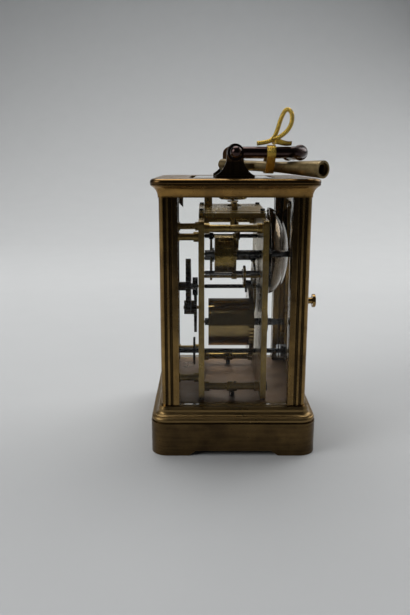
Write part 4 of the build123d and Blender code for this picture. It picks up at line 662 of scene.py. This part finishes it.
def sweptSheet(look):
    work = bmesh.new()
    bendStart = look["wall"] + look["radius"]
    start = work.verts.new((look["front"], -look["half"], 0))
    foot = work.verts.new((bendStart, -look["half"], 0))
    work.edges.new((start, foot))
    bend = bmesh.ops.spin(work, geom=[foot], cent=(bendStart, -look["half"], look["radius"]),
                          axis=(0, 1, 0), angle=math.radians(90), steps=look["bendSteps"])
    last = [item for item in bend["geom_last"] if isinstance(item, bmesh.types.BMVert)]
    rise = bmesh.ops.extrude_vert_indiv(work, verts=last)
    bmesh.ops.translate(work, verts=rise["verts"], vec=(0, 0, look["height"]))
    across = bmesh.ops.extrude_edge_only(work, edges=work.edges[:])
    moved = [item for item in across["geom"] if isinstance(item, bmesh.types.BMVert)]
    bmesh.ops.translate(work, verts=moved, vec=(0, 2 * look["half"], 0))
    bmesh.ops.recalc_face_normals(work, faces=work.faces)
    return work


paperMesh = meshOfShape("paper", sweptSheet(paperLook))
smoothFaces(paperMesh)
paperMesh.materials.append(paperFinish(paperLook))
paperSweep = addObject("paper", paperMesh)
print("paper laid")

# soft lamps and the room's own light
lampLook = {
    "top": {"place": (-0.4, -0.1, 1.15), "target": (0.0, 0.0, 0.06), "size": 1.2, "power": 10.0},
    "left": {"place": (0.5, -1.1, 0.7), "target": (0.1, 0.0, 0.06), "size": 0.9, "power": 7.0},
    "rear": {"place": (-0.6, 0.9, 0.7), "target": (0.0, 0.0, 0.08), "size": 0.9, "power": 5.0},
}
for lampName, lampSet in lampLook.items():
    lamp = bpy.data.lights.new(lampName, "AREA")
    lamp.shape = "DISK"
    lamp.size = lampSet["size"]
    lamp.energy = lampSet["power"]
    aim = Vector(lampSet["target"]) - Vector(lampSet["place"])
    lampHolder = addObject(lampName, lamp)
    lampHolder.location = lampSet["place"]
    lampHolder.rotation_euler = aim.to_track_quat("-Z", "Y").to_euler()
roomLook = {
    "horizon": (0.5, 0.51, 0.52), "overhead": (0.12, 0.122, 0.125), "riseRange": (0.1, 0.8),
    "behindCamera": (0.05, 0.05, 0.052), "frontRange": (0.1, 0.6), "strength": 0.8,
}
world = bpy.data.worlds.new("room")
world.use_nodes = True
sky = world.node_tree
backdrop = sky.nodes["Background"]
skyCoords = addNode(sky, "ShaderNodeTexCoord")
skySplit = addNode(sky, "ShaderNodeSeparateXYZ")
sky.links.new(skyCoords.outputs["Generated"], skySplit.inputs[0])
skyRise = rangeOf(sky, skySplit.outputs["Z"], *roomLook["riseRange"])
skyFront = rangeOf(sky, skySplit.outputs["X"], *roomLook["frontRange"])
skyColour = blendColours(sky, skyRise, roomLook["horizon"], roomLook["overhead"])
skyColour = blendColours(sky, skyFront, skyColour, roomLook["behindCamera"])
sky.links.new(skyColour, backdrop.inputs["Color"])
backdrop.inputs["Strength"].default_value = roomLook["strength"]
scene.world = world

# the camera looks along -X and a little down
cameraLook = {"place": (0.282, -0.0119, 0.1203), "pitch": 13.1, "lens": 36.6, "sensor": 36.0, "clip": 0.01}
view = bpy.data.cameras.new("camera")
view.lens = cameraLook["lens"]
view.sensor_width = cameraLook["sensor"]
view.clip_start = cameraLook["clip"]
pitch = math.radians(cameraLook["pitch"])
ahead = Vector((-math.cos(pitch), 0, -math.sin(pitch)))
eye = addObject("camera", view)
eye.location = cameraLook["place"]
eye.rotation_euler = ahead.to_track_quat("-Z", "Y").to_euler()
scene.camera = eye
print("camera and lamps set")
